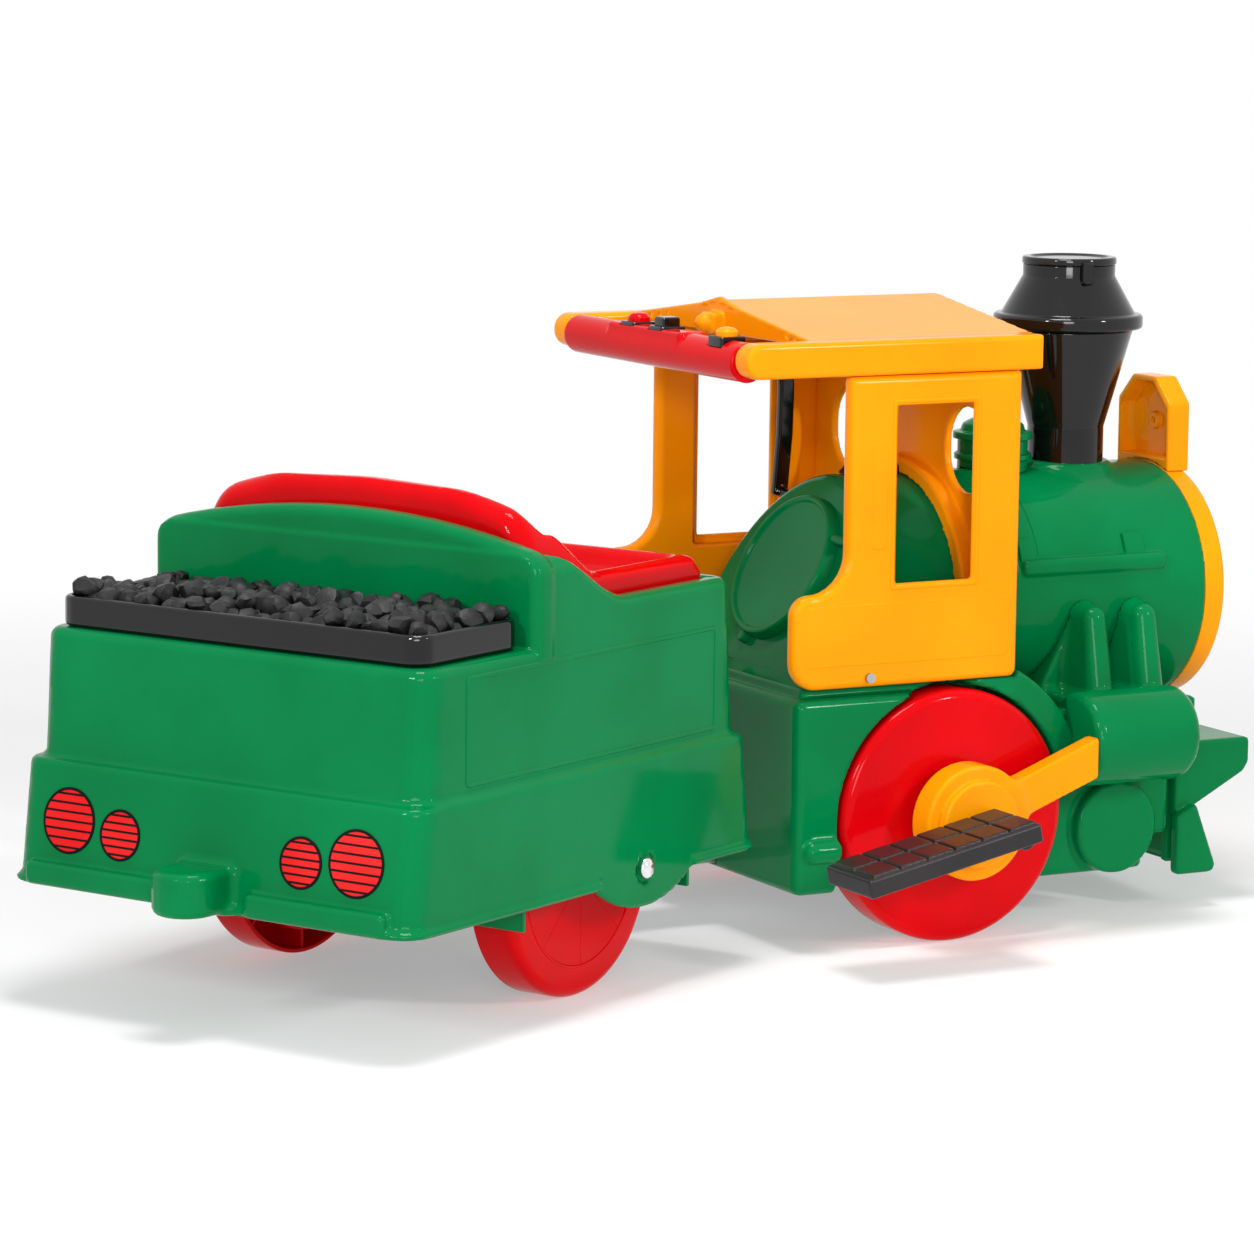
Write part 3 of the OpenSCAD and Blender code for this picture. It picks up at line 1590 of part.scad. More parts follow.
// Webs across the inside carry the seat and stand on the frame
module tender_webs() {
  top = seat_low - seat_gap;
  deck = coal_deck - skin - seat_gap;
  side = min(deck, top);
  half = body_in - seat_gap;
  on_tender() color(GREEN) {
    block(web_rear, web_rear + skin, -half, half, web_low + seat_gap, deck);
    for (web = [[web_front, web_low + seat_gap], [web_seat, 2 * rear_r + pass_gap]]) {
      block(web[0], web[0] + skin, -half, half, web[1], side);
      block(web[0], web[0] + skin, -seat_half, seat_half, web[1], top);
    }
  }
}

module seat_outline() {
  steps = 12;
  nose = 14;
  polygon(concat([[seat_x0, seat_low], [seat_x0, seat_top]],
    sweep(seat_x0 + seat_back_t, seat_top, seat_sweep_x, seat_ridge, steps),
    [[seat_x1 - nose, seat_ridge], [seat_x1, seat_ridge - nose], [seat_x1, seat_low]]));
}

module seat() {
  back = seat_x0 + seat_back_t;
  half_in = seat_half - seat_side;
  on_tender() color(RED) difference() {
    intersection() {
      side_plate(-seat_half, seat_half) seat_outline();
      cross_plate(seat_x0 - overrun, seat_x1 + overrun) backboard_outline(seat_top, seat_half);
    }
    side_plate(-half_in, half_in) polygon([[back + overrun, seat_pan], [back, seat_top + overrun],
      [seat_x1 + overrun, seat_top + overrun], [seat_x1 + overrun, seat_pan]]);
    block(seat_x0 + skin, seat_x1 - skin, -seat_half + skin, seat_half - skin, seat_low - overrun,
      seat_pan - skin);
  }
}

// A repeatable scatter between 0 and 1 for each lump
function scatter(i, j, k) = let (v = abs(sin(i * 127.1 + j * 311.7 + k * 74.7)) * 437.58) v - floor(v);

// One lump of coal: two blocks at different angles, blended
module coal_lump(i, j) {
  least_share = 0.8;
  spread_share = 0.4;
  second_share = 0.85;
  big = coal_lump * (least_share + spread_share * scatter(i, j, 1));
  hull() {
    rotate(360 * [scatter(i, j, 2), scatter(i, j, 3), 0]) cube(big, center = true);
    rotate(360 * [0, scatter(i, j, 4), scatter(i, j, 5)]) cube(big * second_share, center = true);
  }
}

module coal_tray() {
  x1 = tray_x + tray_l;
  on_tender() color(BLACK) difference() {
    translate([0, 0, coal_deck]) linear_extrude(tray_h) rounded(tray_x, x1, -tray_half, tray_half, tray_r);
    translate([0, 0, coal_deck + tray_rim]) linear_extrude(tray_h)
      rounded(tray_x + tray_rim, x1 - tray_rim, -tray_half + tray_rim, tray_half - tray_rim, tray_r - tray_rim);
  }
}

module coal_load() {
  bed_share = 0.75;
  corner_share = 0.3;
  edge = tray_rim + seat_gap + corner_share * (tray_r - tray_rim);
  x0 = tray_x + edge;
  x1 = tray_x + tray_l - edge;
  half = tray_half - edge;
  floor_z = coal_deck + tray_rim + run_gap;
  step_x = (x1 - x0) / coal_cols;
  step_y = 2 * half / coal_rows;
  on_tender() color(BLACK) intersection() {
    block(x0, x1, -half, half, floor_z, coal_deck + 3 * tray_h);
    union() {
      block(x0, x1, -half, half, floor_z, floor_z + coal_h * bed_share);
      for (i = [0 : coal_cols - 1], j = [0 : coal_rows - 1])
        translate([x0 + (i + 1 / 2) * step_x, (j + 1 / 2) * step_y - half,
          floor_z + coal_h - coal_rough * scatter(i, j, 0)]) coal_lump(i, j);
    }
  }
}

module on_rear_face(y, z) {
  x = -skirt_flare * (ledge_z - z) / (ledge_z - skirt_low);
  translate([x, y, z]) rotate([0, rear_lean - 90, 0]) children();
}

module tail_lamp_discs() {
  on_tender() color(RED) both_sides() {
    on_rear_face(big_lamp_y, big_lamp_z) cylinder(r = big_lamp_r, h = lamp_disc_t);
    on_rear_face(small_lamp_y, small_lamp_z) cylinder(r = small_lamp_r, h = lamp_disc_t);
  }
}

module tender_frame() {
  pedestal_l = 40;
  pedestal_h = rear_r + axle_r * 2;
  on_tender() color(BLACK) difference() {
    union() {
      block(web_rear - skin, ledge_front - 2 * corner_r, -pedestal_out, pedestal_out, drawbar_z, drawbar_top);
      block(rear_axle_x, ledge_to_king, -tongue_half, tongue_half, drawbar_z, drawbar_top);
      bar_z(tongue_half, drawbar_z, drawbar_top, ledge_to_king, 0);
      both_sides() block(rear_axle_x - pedestal_l / 2, rear_axle_x + pedestal_l / 2, -pedestal_out,
        -pedestal_in, drawbar_top - skin, pedestal_h);
    }
    bar_z(king_r + run_gap, drawbar_z - overrun, drawbar_top + overrun, ledge_to_king, 0);
    bar_y(axle_r, -rear_out, rear_out, rear_axle_x, rear_r);
  }
}

module rear_axle() {
  end = bracket_y + bracket_t;
  on_tender() color(STEEL) bar_y(axle_r, -end, end, rear_axle_x, rear_r);
}

// Plates outside the wheels hold the axle's ends and hang from the bolts in the lobes
module axle_brackets() {
  eye_r = 15;
  strap_half = eye_r - skin / 2;
  strap_t = bracket_t - 2 * seat_gap;
  strap_l = norm([cap_x - rear_axle_x, cap_z - rear_r]);
  lean = atan2(cap_z - rear_r, cap_x - rear_axle_x);
  on_tender() color(BLACK) both_sides() difference() {
    union() {
      bar_y(eye_r, -bracket_y - bracket_t, -bracket_y, rear_axle_x, rear_r);
      bar_y(eye_r, -bracket_y - bracket_t, -bracket_y, cap_x, cap_z);
      bar_y(eye_r - skin, -shell_in + seat_gap, -bracket_y - bracket_t / 2, cap_x, cap_z);
      translate([rear_axle_x, -bracket_y - strap_t - seat_gap, rear_r]) rotate([0, -lean, 0])
        translate([0, 0, -strap_half]) cube([strap_l, strap_t, 2 * strap_half]);
    }
    bar_y(axle_r, -lip_half, 0, rear_axle_x, rear_r);
    bar_y(bolt_r, -lip_half, 0, cap_x, cap_z);
  }
}

module bracket_bolts() {
  dome_h = 6;
  dome_share = 1.2;
  on_tender() color(STEEL) both_sides() {
    bar_y(bolt_r - run_gap, -skirt_half, -bracket_y - run_gap, cap_x, cap_z);
    translate([cap_x, -skirt_half, cap_z]) rotate([90, 0, 0]) intersection() {
      cylinder(r = cap_r, h = dome_h);
      translate([0, 0, dome_h - cap_r * dome_share]) sphere(cap_r * dome_share);
    }
  }
}

chassis();
buffer_beam();
boiler();
backhead_cover();
smokebox_front();
headlamp_housing();
headlamp_lens();
funnel_base();
funnel_top();
funnel_lid();
whistle_dome();
steam_cylinder_right();
steam_cylinder_left();
cab_wall_right();
cab_wall_left();
cab_front();
roof();
grip();
grip_core();
button_bases();
button_red();
button_black();
button_yellow();
return_springs();
wiring_loom();
sound_unit();
speaker();
battery_tray();
battery();
motor();
motor_pinion();
gearbox_housing();
gearbox_cover();
final_gear();
front_axle();
axle_bushes();
front_wheel_right();
front_wheel_left();
rod_bracket_right();
rod_bracket_left();
pedal_right();
footrest_left();
pedal_pins();
pedal_switch();
loco_tongue();
kingpin();
king_washers();
cab_screws();
tender_skirt();
tender_body();
tender_webs();
seat();
coal_tray();
coal_load();
tail_lamp_discs();
tender_frame();
rear_axle();
rear_wheel_right();
rear_wheel_left();
axle_brackets();
bracket_bolts();
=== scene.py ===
"""Looks of a ride-on steam train: moulded shells, wheels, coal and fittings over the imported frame.

Shapes are told in millimetres, in the locomotive's or the tender's own frame, as in the part's source:
x runs forward (from the front axle, or from the rear of the tender's ledge), y to the left, z up.
"""

import json
import math

import bmesh
import bpy
import numpy as np
from mathutils import Matrix, Vector


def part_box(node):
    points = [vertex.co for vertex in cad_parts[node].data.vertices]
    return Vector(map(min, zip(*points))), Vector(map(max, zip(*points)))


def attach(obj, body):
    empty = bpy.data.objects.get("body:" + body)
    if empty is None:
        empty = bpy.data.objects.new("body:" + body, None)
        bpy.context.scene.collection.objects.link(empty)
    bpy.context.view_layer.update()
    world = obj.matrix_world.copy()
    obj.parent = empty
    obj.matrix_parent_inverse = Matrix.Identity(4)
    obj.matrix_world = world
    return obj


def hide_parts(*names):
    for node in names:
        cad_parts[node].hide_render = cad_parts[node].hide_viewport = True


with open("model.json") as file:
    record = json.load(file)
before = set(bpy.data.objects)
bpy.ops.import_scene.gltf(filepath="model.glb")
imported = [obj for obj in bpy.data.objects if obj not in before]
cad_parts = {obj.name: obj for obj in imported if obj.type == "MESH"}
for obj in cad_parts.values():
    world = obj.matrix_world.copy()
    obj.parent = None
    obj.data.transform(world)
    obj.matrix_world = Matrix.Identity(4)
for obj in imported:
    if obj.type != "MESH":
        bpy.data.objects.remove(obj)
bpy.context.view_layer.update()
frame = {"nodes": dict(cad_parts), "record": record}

# Places

STEER = math.radians(27.5)
LEDGE_TO_KING = 497
MM = Matrix.Scale(0.001, 4)
SEAT_GAP = 0.3  # between two pieces that seat on each other
FAR = 600  # beyond any piece
SIDES = (("right", -1), ("left", 1))


def middle(node):
    low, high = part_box(node)
    return (low + high) / 2


def ground_under(point):
    return Matrix.Translation((point.x, point.y, 0))


LOCO = ground_under(middle("front_axle")) @ MM
TENDER = (ground_under(middle("kingpin")) @ Matrix.Rotation(STEER, 4, "Z") @ MM
          @ Matrix.Translation((-LEDGE_TO_KING, 0, 0)))
ON_LOCO, ON_TENDER = (LOCO, "locomotive"), (TENDER, "tender")

# Finishes


class Value:
    """A socket's value in a tree of nodes. Sums and products of values add Math nodes."""

    def __init__(self, nodes, socket):
        self.nodes, self.socket = nodes, socket

    def math(self, operation, first, second):
        return self.nodes.node("ShaderNodeMath", {"operation": operation}, {0: first, 1: second})

    def __add__(self, other):
        return self.math("ADD", self, other)

    __radd__ = __add__

    def __sub__(self, other):
        return self.math("SUBTRACT", self, other)

    def __rsub__(self, other):
        return self.math("SUBTRACT", other, self)

    def __mul__(self, other):
        return self.math("MULTIPLY", self, other)

    __rmul__ = __mul__

    def above(self, edge, width):
        """0 below the edge, 1 above it, with a soft step of that width."""
        return self.nodes.node("ShaderNodeMapRange", {"interpolation_type": "SMOOTHSTEP"},
                               {"Value": self, "From Min": edge - width / 2, "From Max": edge + width / 2})


class Nodes:
    """The nodes of a material or a world, made and linked by their values."""

    def __init__(self, tree):
        self.tree = tree

    def node(self, kind, settings=None, inputs=None, out=0):
        made = self.tree.nodes.new(kind)
        for key, value in (settings or {}).items():
            setattr(made, key, value)
        for key, value in (inputs or {}).items():
            self.feed(made.inputs[key], value)
        return Value(self, made.outputs[out])

    def feed(self, socket, value):
        if isinstance(value, Value):
            self.tree.links.new(value.socket, socket)
        else:
            socket.default_value = value


class Finish(Nodes):
    """A material built from nodes around one principled shader."""

    def __init__(self, name, **constants):
        self.material = bpy.data.materials.new(name)
        self.material.use_nodes = True
        super().__init__(self.material.node_tree)
        self.shader = self.tree.nodes["Principled BSDF"]
        self.spot = self.node("ShaderNodeTexCoord", out="Object")
        self.paint(**constants)

    def noise(self, scale, detail=3, rough=0.5):
        return self.node("ShaderNodeTexNoise", {}, {"Vector": self.spot, "Scale": scale, "Detail": detail,
                                                    "Roughness": rough}, "Fac")

    def mix(self, share, first, second):
        colour_sockets, colour_out = {0: share, 6: first, 7: second}, 2
        return self.node("ShaderNodeMix", {"data_type": "RGBA"}, colour_sockets, colour_out)

    def paint(self, **sockets):
        for socket, value in sockets.items():
            self.feed(self.shader.inputs[socket.replace("_", " ")], value)

    def bump(self, height, distance, strength=1.0):
        self.paint(Normal=self.node("ShaderNodeBump", {}, {"Height": height, "Distance": distance,
                                                           "Strength": strength}, "Normal"))


def linear(red, green, blue):
    """A colour as seen on a screen, 0 to 255, as the renderer counts it."""
    def one(value):
        value /= 255
        return value / 12.92 if value <= 0.04045 else ((value + 0.055) / 1.055) ** 2.4
    return (one(red), one(green), one(blue), 1)


def moulded(name, dark, light, gloss, peel=1.0, shine=0.08):
    """Moulded plastic: clouded colour, orange peel, faint sink marks and rubbed patches in the gloss."""
    finish = Finish(name, IOR=1.5, Specular_IOR_Level=shine)
    cloud = finish.noise(7, 4)
    fleck = finish.noise(140, 3)
    finish.paint(Base_Color=finish.mix(cloud.above(0.5, 0.5) * 0.85 + fleck * 0.15, dark, light))
    rub = finish.noise(38, 5, 0.62)
    finish.paint(Roughness=gloss + rub.above(0.62, 0.2) * 0.05 + fleck * 0.02)
    finish.bump(finish.noise(420, 2) * 0.35 + finish.noise(16, 2), 0.0006 * peel, 0.13)
    return finish.material


def coal_black():
    """Moulded coal: satin black with grain on the lumps and dust in the hollows."""
    finish = Finish("coal", IOR=1.5, Specular_IOR_Level=0.3)
    grain = finish.noise(190, 6, 0.68)
    patch = finish.noise(34, 3)
    finish.paint(Base_Color=finish.mix(patch.above(0.52, 0.3) * 0.7 + grain * 0.3, linear(8, 8, 9),
                                       linear(30, 30, 32)))
    finish.paint(Roughness=0.3 + grain * 0.32)
    finish.bump(grain * 0.7 + patch, 0.0016, 0.55)
    return finish.material


def bare_metal(name, colour, gloss):
    """Plated metal with fine drawn lines and a few dull spots."""
    finish = Finish(name, Metallic=1.0)
    line = finish.node("ShaderNodeTexWave", {"bands_direction": "Z"},
                       {"Vector": finish.spot, "Scale": 260.0, "Distortion": 6.0, "Detail": 3.0}, "Fac")
    spot = finish.noise(55, 4)
    shade = tuple(channel * 0.82 for channel in colour[:3]) + (1,)
    finish.paint(Base_Color=finish.mix(spot.above(0.55, 0.3), colour, shade))
    finish.paint(Roughness=gloss + spot.above(0.58, 0.2) * 0.08 + line * 0.04)
    finish.bump(line, 0.0001, 0.2)
    return finish.material


def clear_lens():
    finish = Finish("clear_lens", IOR=1.46, Transmission_Weight=0.85)
    ripple = finish.node("ShaderNodeTexWave", {"wave_type": "RINGS", "rings_direction": "X"},
                         {"Vector": finish.spot, "Scale": 40.0}, "Fac")
    haze = finish.noise(60, 3)
    finish.paint(Base_Color=finish.mix(haze, linear(242, 244, 248), linear(225, 230, 236)))
    finish.paint(Roughness=0.06 + haze * 0.08)
    finish.bump(ripple, 0.0004, 0.4)
    return finish.material


GREEN = moulded("green_plastic", linear(0, 112, 58), linear(0, 126, 70), 0.07)
YELLOW = moulded("yellow_plastic", linear(254, 146, 3), linear(255, 160, 8), 0.1)
RED = moulded("red_plastic", linear(198, 1, 8), linear(216, 3, 12), 0.07)
BLACK = moulded("black_plastic", linear(6, 6, 8), linear(14, 14, 16), 0.07, 0.3, 0.4)
PEDAL_BLACK = moulded("pedal_black", linear(20, 19, 21), linear(38, 34, 36), 0.34, 1.0, 0.35)
LAMP_RED = moulded("lamp_red", linear(214, 22, 24), linear(240, 48, 46), 0.22, 0.4)
PRINT_BLACK = moulded("print_black", linear(10, 8, 9), linear(24, 20, 21), 0.35, 0.4)
NYLON = moulded("natural_nylon", linear(214, 210, 198), linear(232, 229, 219), 0.4)
COAL = coal_black()
STEEL = bare_metal("zinc_plated_steel", linear(186, 188, 192), 0.26)
CHROME = bare_metal("polished_chrome", linear(236, 238, 242), 0.06)
LENS = clear_lens()

SLOTS = {GREEN: "green_plastic", YELLOW: "yellow_plastic", RED: "red_plastic", BLACK: "black_plastic",
         PEDAL_BLACK: "black_plastic", LAMP_RED: "lamp_red", PRINT_BLACK: "black_plastic", NYLON: "nylon",
         COAL: "black_plastic", STEEL: "steel", CHROME: "chrome", LENS: "lens"}

# Forms: solids told by their depth


def soft_min(a, b, r):
    """The smaller of two depths, with a fillet of radius r where they meet."""
    if not r:
        return np.minimum(a, b)
    return np.maximum(r, np.minimum(a, b)) - np.hypot(np.maximum(r - a, 0), np.maximum(r - b, 0))


class Form:
    """A solid as a depth, below zero inside, with the box that it lies in."""

    def __init__(self, depth, low, high):
        self.depth, self.low, self.high = depth, np.array(low, float), np.array(high, float)

    def join(self, other, fillet=0.0):
        return Form(lambda p: soft_min(self.depth(p), other.depth(p), fillet),
                    np.minimum(self.low, other.low), np.maximum(self.high, other.high))

    def cut(self, other, edge=0.0):
        return Form(lambda p: -soft_min(-self.depth(p), other.depth(p), edge), self.low, self.high)

    def keep(self, other, edge=0.0):
        return Form(lambda p: -soft_min(-self.depth(p), -other.depth(p), edge),
                    np.maximum(self.low, other.low), np.minimum(self.high, other.high))

    def both_sides(self):
        """The form on the right, y below zero, and its mirror image on the left."""
        low, high = self.low.copy(), self.high.copy()
        high[1] = max(-low[1], high[1])
        low[1] = min(low[1], -high[1])
        return Form(lambda p: self.depth(np.stack([p[0], -np.abs(p[1]), p[2]])), low, high)

    def flipped(self):
        low, high = self.low.copy(), self.high.copy()
        low[1], high[1] = -self.high[1], -self.low[1]
        return Form(lambda p: self.depth(np.stack([p[0], -p[1], p[2]])), low, high)

    def leaned(self, degrees, at):
        """Turned about the Y axis through at, rear end down for a positive angle."""
        c, s = math.cos(math.radians(degrees)), math.sin(math.radians(degrees))

        def depth(p):
            x, z = p[0] - at[0], p[2] - at[1]
            return self.depth(np.stack([c * x + s * z + at[0], p[1], c * z - s * x + at[1]]))
        corners = np.array([(x - at[0], z - at[1]) for x in (self.low[0], self.high[0])
                            for z in (self.low[2], self.high[2])])
        xs, zs = c * corners[:, 0] - s * corners[:, 1], s * corners[:, 0] + c * corners[:, 1]
        return Form(depth, (xs.min() + at[0], self.low[1], zs.min() + at[1]),
                    (xs.max() + at[0], self.high[1], zs.max() + at[1]))


def block(x0, x1, y0, y1, z0, z1, edge=0.0):
    centre = np.array([(x0 + x1) / 2, (y0 + y1) / 2, (z0 + z1) / 2])
    half = np.array([(x1 - x0) / 2, (y1 - y0) / 2, (z1 - z0) / 2]) - edge

    def depth(p):
        q = [np.abs(p[i] - centre[i]) - half[i] for i in range(3)]
        out = np.sqrt(sum(np.maximum(axis, 0) ** 2 for axis in q))
        return out + np.minimum(np.maximum(np.maximum(q[0], q[1]), q[2]), 0) - edge
    return Form(depth, (x0, y0, z0), (x1, y1, z1))


def outline_depth(u, v, points):
    """Distance to a closed outline, below zero inside it."""
    near = np.full(u.shape, np.inf, u.dtype)
    inside = np.zeros(u.shape, bool)
    for (x0, y0), (x1, y1) in zip(points, points[1:] + points[:1]):
        ex, ey = x1 - x0, y1 - y0
        length = ex * ex + ey * ey
        if length < 1e-12:
            continue
        wx, wy = u - x0, v - y0
        t = np.clip((wx * ex + wy * ey) / length, 0, 1)
        near = np.minimum(near, (wx - ex * t) ** 2 + (wy - ey * t) ** 2)
        inside ^= ((y0 > v) != (y1 > v)) & ((wx * ey < wy * ex) == (ey < 0))
    return np.where(inside, -1, 1) * np.sqrt(near)


AXES = {"x": (0, (1, 2)), "y": (1, (0, 2)), "z": (2, (0, 1))}


def along(axis, start, end, outline, flat_low, flat_high, edge):
    """A flat outline's depth function given a length along an axis, its end edges rounded."""
    a, (u, v) = AXES[axis]
    mid, half = (start + end) / 2, (end - start) / 2

    def depth(p):
        side, cap = outline(p[u], p[v]), np.abs(p[a] - mid) - half
        return -soft_min(-side, -cap, edge)
    low, high = [0, 0, 0], [0, 0, 0]
    low[a], high[a] = start, end
    low[u], low[v] = flat_low
    high[u], high[v] = flat_high
    return Form(depth, low, high)


def plate(axis, points, start, end, edge=0.0):
    """An outline, as (x, z), (y, z) or (x, y), given a thickness along the axis left over."""
    points = [tuple(p[:2]) for p in points]
    flat = np.array(points)
    return along(axis, start, end, lambda u, v: outline_depth(u, v, points), flat.min(0), flat.max(0), edge)


def bar(axis, r, start, end, at, edge=0.0):
    return along(axis, start, end, lambda u, v: np.hypot(u - at[0], v - at[1]) - r,
                 (at[0] - r, at[1] - r), (at[0] + r, at[1] + r), edge)


def turned(axis, profile, at):
    """A lathe shape: (radius, place along the axis) outline, turned about the axis through at."""
    a, (u, v) = AXES[axis]
    points = [tuple(p[:2]) for p in profile]
    reach = max(p[0] for p in points)
    low, high = [0, 0, 0], [0, 0, 0]
    low[a], high[a] = min(p[1] for p in points), max(p[1] for p in points)
    low[u], high[u], low[v], high[v] = at[0] - reach, at[0] + reach, at[1] - reach, at[1] + reach
    return Form(lambda p: outline_depth(np.hypot(p[u] - at[0], p[v] - at[1]), p[a], points), low, high)


def rod(start, end, r, r_end=None):
    """A round ended rod between two points, tapered if the radii differ."""
    a, b = np.array(start, float), np.array(end, float)
    r_end = r if r_end is None else r_end

    def depth(p):
        q = [p[i] - a[i] for i in range(3)]
        t = np.clip(sum(q[i] * (b - a)[i] for i in range(3)) / ((b - a) @ (b - a)), 0, 1)
        return np.sqrt(sum((q[i] - t * (b - a)[i]) ** 2 for i in range(3))) - (r + (r_end - r) * t)
    reach = max(r, r_end)
    return Form(depth, np.minimum(a, b) - reach, np.maximum(a, b) + reach)


def eased(points, r, steps=6):
    """An outline with its corners rounded. A third number in a point is that corner's own radius."""
    made, count = [], len(points)
    for i, point in enumerate(points):
        own = point[2] if len(point) > 2 else r
        here = np.array(point[:2], float)
        back = np.array(points[i - 1][:2], float) - here
        on = np.array(points[(i + 1) % count][:2], float) - here
        back_length, on_length = np.linalg.norm(back), np.linalg.norm(on)
        back, on = back / back_length, on / on_length
        angle = math.acos(max(-1, min(1, back @ on)))
        if own <= 0 or angle > math.radians(176):
            made.append(tuple(here))
            continue
        reach = min(own / math.tan(angle / 2), 0.98 * min(back_length, on_length))
        own = reach * math.tan(angle / 2)
        centre = here + (back + on) / np.linalg.norm(back + on) * own / math.sin(angle / 2)
        first, last = here + back * reach - centre, here + on * reach - centre
        for step in range(steps + 1):
            way = first * (1 - step / steps) + last * (step / steps)
            made.append(tuple(centre + way / np.linalg.norm(way) * own))
    return made


def box_outline(x0, x1, y0, y1, r):
    return eased([(x0, y0), (x1, y0), (x1, y1), (x0, y1)], r)


def sweep(x0, z0, x1, z1, steps=10):
    """Points of an edge that comes down smoothly from one height to another."""
    return [(x0 + (x1 - x0) * i / steps, z0 + (z1 - z0) * (1 - math.cos(math.pi * i / steps)) / 2)
            for i in range(steps + 1)]


# Casting a form into a mesh

BATCH = 8
REACH = 2.1  # how far from a batch's middle the surface is looked for, in half batches
MARGIN = 2.3  # cells left free round a form


def sampled(form, low, cell, counts):
    """Depth at the nodes of a grid, worked out only near the surface."""
    groups = counts // BATCH
    index = np.stack(np.meshgrid(*[np.arange(g) for g in groups], indexing="ij"), -1).reshape(-1, 3)
    centres = low + (index * BATCH + (BATCH - 1) / 2) * cell
    coarse = form.depth(centres.T.astype(np.float32))
    near = np.abs(coarse) < (BATCH / 2 + 0.5) * cell * REACH
    values = np.empty(tuple(groups) + (BATCH,) * 3, np.float32)
    values[...] = (np.sign(coarse) * 1000).reshape(tuple(groups) + (1, 1, 1))
    step = np.stack(np.meshgrid(*[np.arange(BATCH)] * 3, indexing="ij"), -1).reshape(1, -1, 3)
    nodes = low + (index[near][:, None, :] * BATCH + step) * cell
    depth = form.depth(nodes.reshape(-1, 3).T.astype(np.float32))
    values[tuple(index[near].T)] = depth.reshape((-1,) + (BATCH,) * 3)
    return values.transpose(0, 3, 1, 4, 2, 5).reshape(tuple(groups * BATCH))


CORNERS = [(x, y, z) for x in (0, 1) for y in (0, 1) for z in (0, 1)]
EDGES = [(a, b) for a in CORNERS for b in CORNERS if a < b and sum(abs(i - j) for i, j in zip(a, b)) == 1]


def netted(values, low, cell):
    """Points and quads of the surface where the grid's depth is zero."""
    inside = values < 0
    shape = np.array(values.shape) - 1
    count = sum(inside[x:x + shape[0], y:y + shape[1], z:z + shape[2]].astype(np.uint8)
                for x, y, z in CORNERS)
    cells = np.argwhere((count > 0) & (count < 8))
    number = np.full(shape, -1, np.int64)
    number[tuple(cells.T)] = np.arange(len(cells))
    total, hits = np.zeros((len(cells), 3)), np.zeros(len(cells))
    for a, b in EDGES:
        first, last = values[tuple((cells + a).T)], values[tuple((cells + b).T)]
        crossed = (first < 0) != (last < 0)
        share = first[crossed] / (first[crossed] - last[crossed])
        total[crossed] += np.array(a) + share[:, None] * (np.array(b) - np.array(a))
        hits += crossed
    points = low + (cells + total / hits[:, None]) * cell
    quads = []
    for axis in range(3):
        u, v = (axis + 1) % 3, (axis + 2) % 3
        first = np.take(inside, np.arange(shape[axis]), axis)
        last = np.take(inside, np.arange(1, shape[axis] + 1), axis)
        at = np.argwhere(first != last)
        at = at[(at[:, u] > 0) & (at[:, v] > 0) & (at[:, u] < shape[u]) & (at[:, v] < shape[v])]
        ring = []
        for du, dv in ((1, 1), (0, 1), (0, 0), (1, 0)):
            spot = at.copy()
            spot[:, u] -= du
            spot[:, v] -= dv
            ring.append(number[tuple(spot.T)])
        ring = np.stack(ring, 1)
        outward = first[tuple(at.T)]
        quads.append(np.where(outward[:, None], ring, ring[:, ::-1]))
    return points, np.concatenate(quads)


def slope(form, points, reach=0.15):
    """The way out of the form at each point, not scaled to one."""
    rows = []
    for axis in range(3):
        ahead, behind = points.copy(), points.copy()
        ahead[:, axis] += reach
        behind[:, axis] -= reach
        rows.append((form.depth(ahead.T) - form.depth(behind.T)) / (2 * reach))
    return np.stack(rows, 1)


def settled(form, points, cell):
    """Points moved onto the form's surface."""
    for _ in range(3):
        way = slope(form, points)
        depth = form.depth(points.T)
        step = depth / np.maximum((way ** 2).sum(1), 0.25)
        points = points - np.clip(step, -cell / 2, cell / 2)[:, None] * way
    return points


def mesh_from(name, points, faces):
    mesh = bpy.data.meshes.new(name)
    mesh.vertices.add(len(points))
    mesh.vertices.foreach_set("co", np.asarray(points, np.float32).ravel())
    mesh.loops.add(faces.size)
    mesh.loops.foreach_set("vertex_index", faces.astype(np.int32).ravel())
    mesh.polygons.add(len(faces))
    mesh.polygons.foreach_set("loop_start", np.arange(len(faces), dtype=np.int32) * faces.shape[1])
    mesh.update(calc_edges=True)
    return mesh


def thinned(mesh, share):
    """The mesh with fewer faces, most of them taken from its flat parts."""
    scratch = bpy.data.objects.new("scratch", mesh)
    bpy.context.scene.collection.objects.link(scratch)
    scratch.modifiers.new("thin", "DECIMATE").ratio = share
    made = bpy.data.meshes.new_from_object(scratch.evaluated_get(bpy.context.evaluated_depsgraph_get()))
    bpy.data.objects.remove(scratch)
    return made


def points_of(mesh):
    points = np.empty(len(mesh.vertices) * 3, np.float32)
    mesh.vertices.foreach_get("co", points)
    return points.reshape(-1, 3).astype(float)


def placed(points, place):
    matrix = np.array(place)
    return points @ matrix[:3, :3].T + matrix[:3, 3]


def finished(name, mesh, body, material, nodes):
    """A mesh in the row frame as a piece that rides on a body and stands for nodes."""
    piece = bpy.data.objects.new(name, mesh)
    bpy.context.scene.collection.objects.link(piece)
    mesh.materials.clear()
    mesh.materials.append(material)
    mesh.shade_smooth()
    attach(piece, body)
    if nodes:
        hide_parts(*nodes)
    return piece


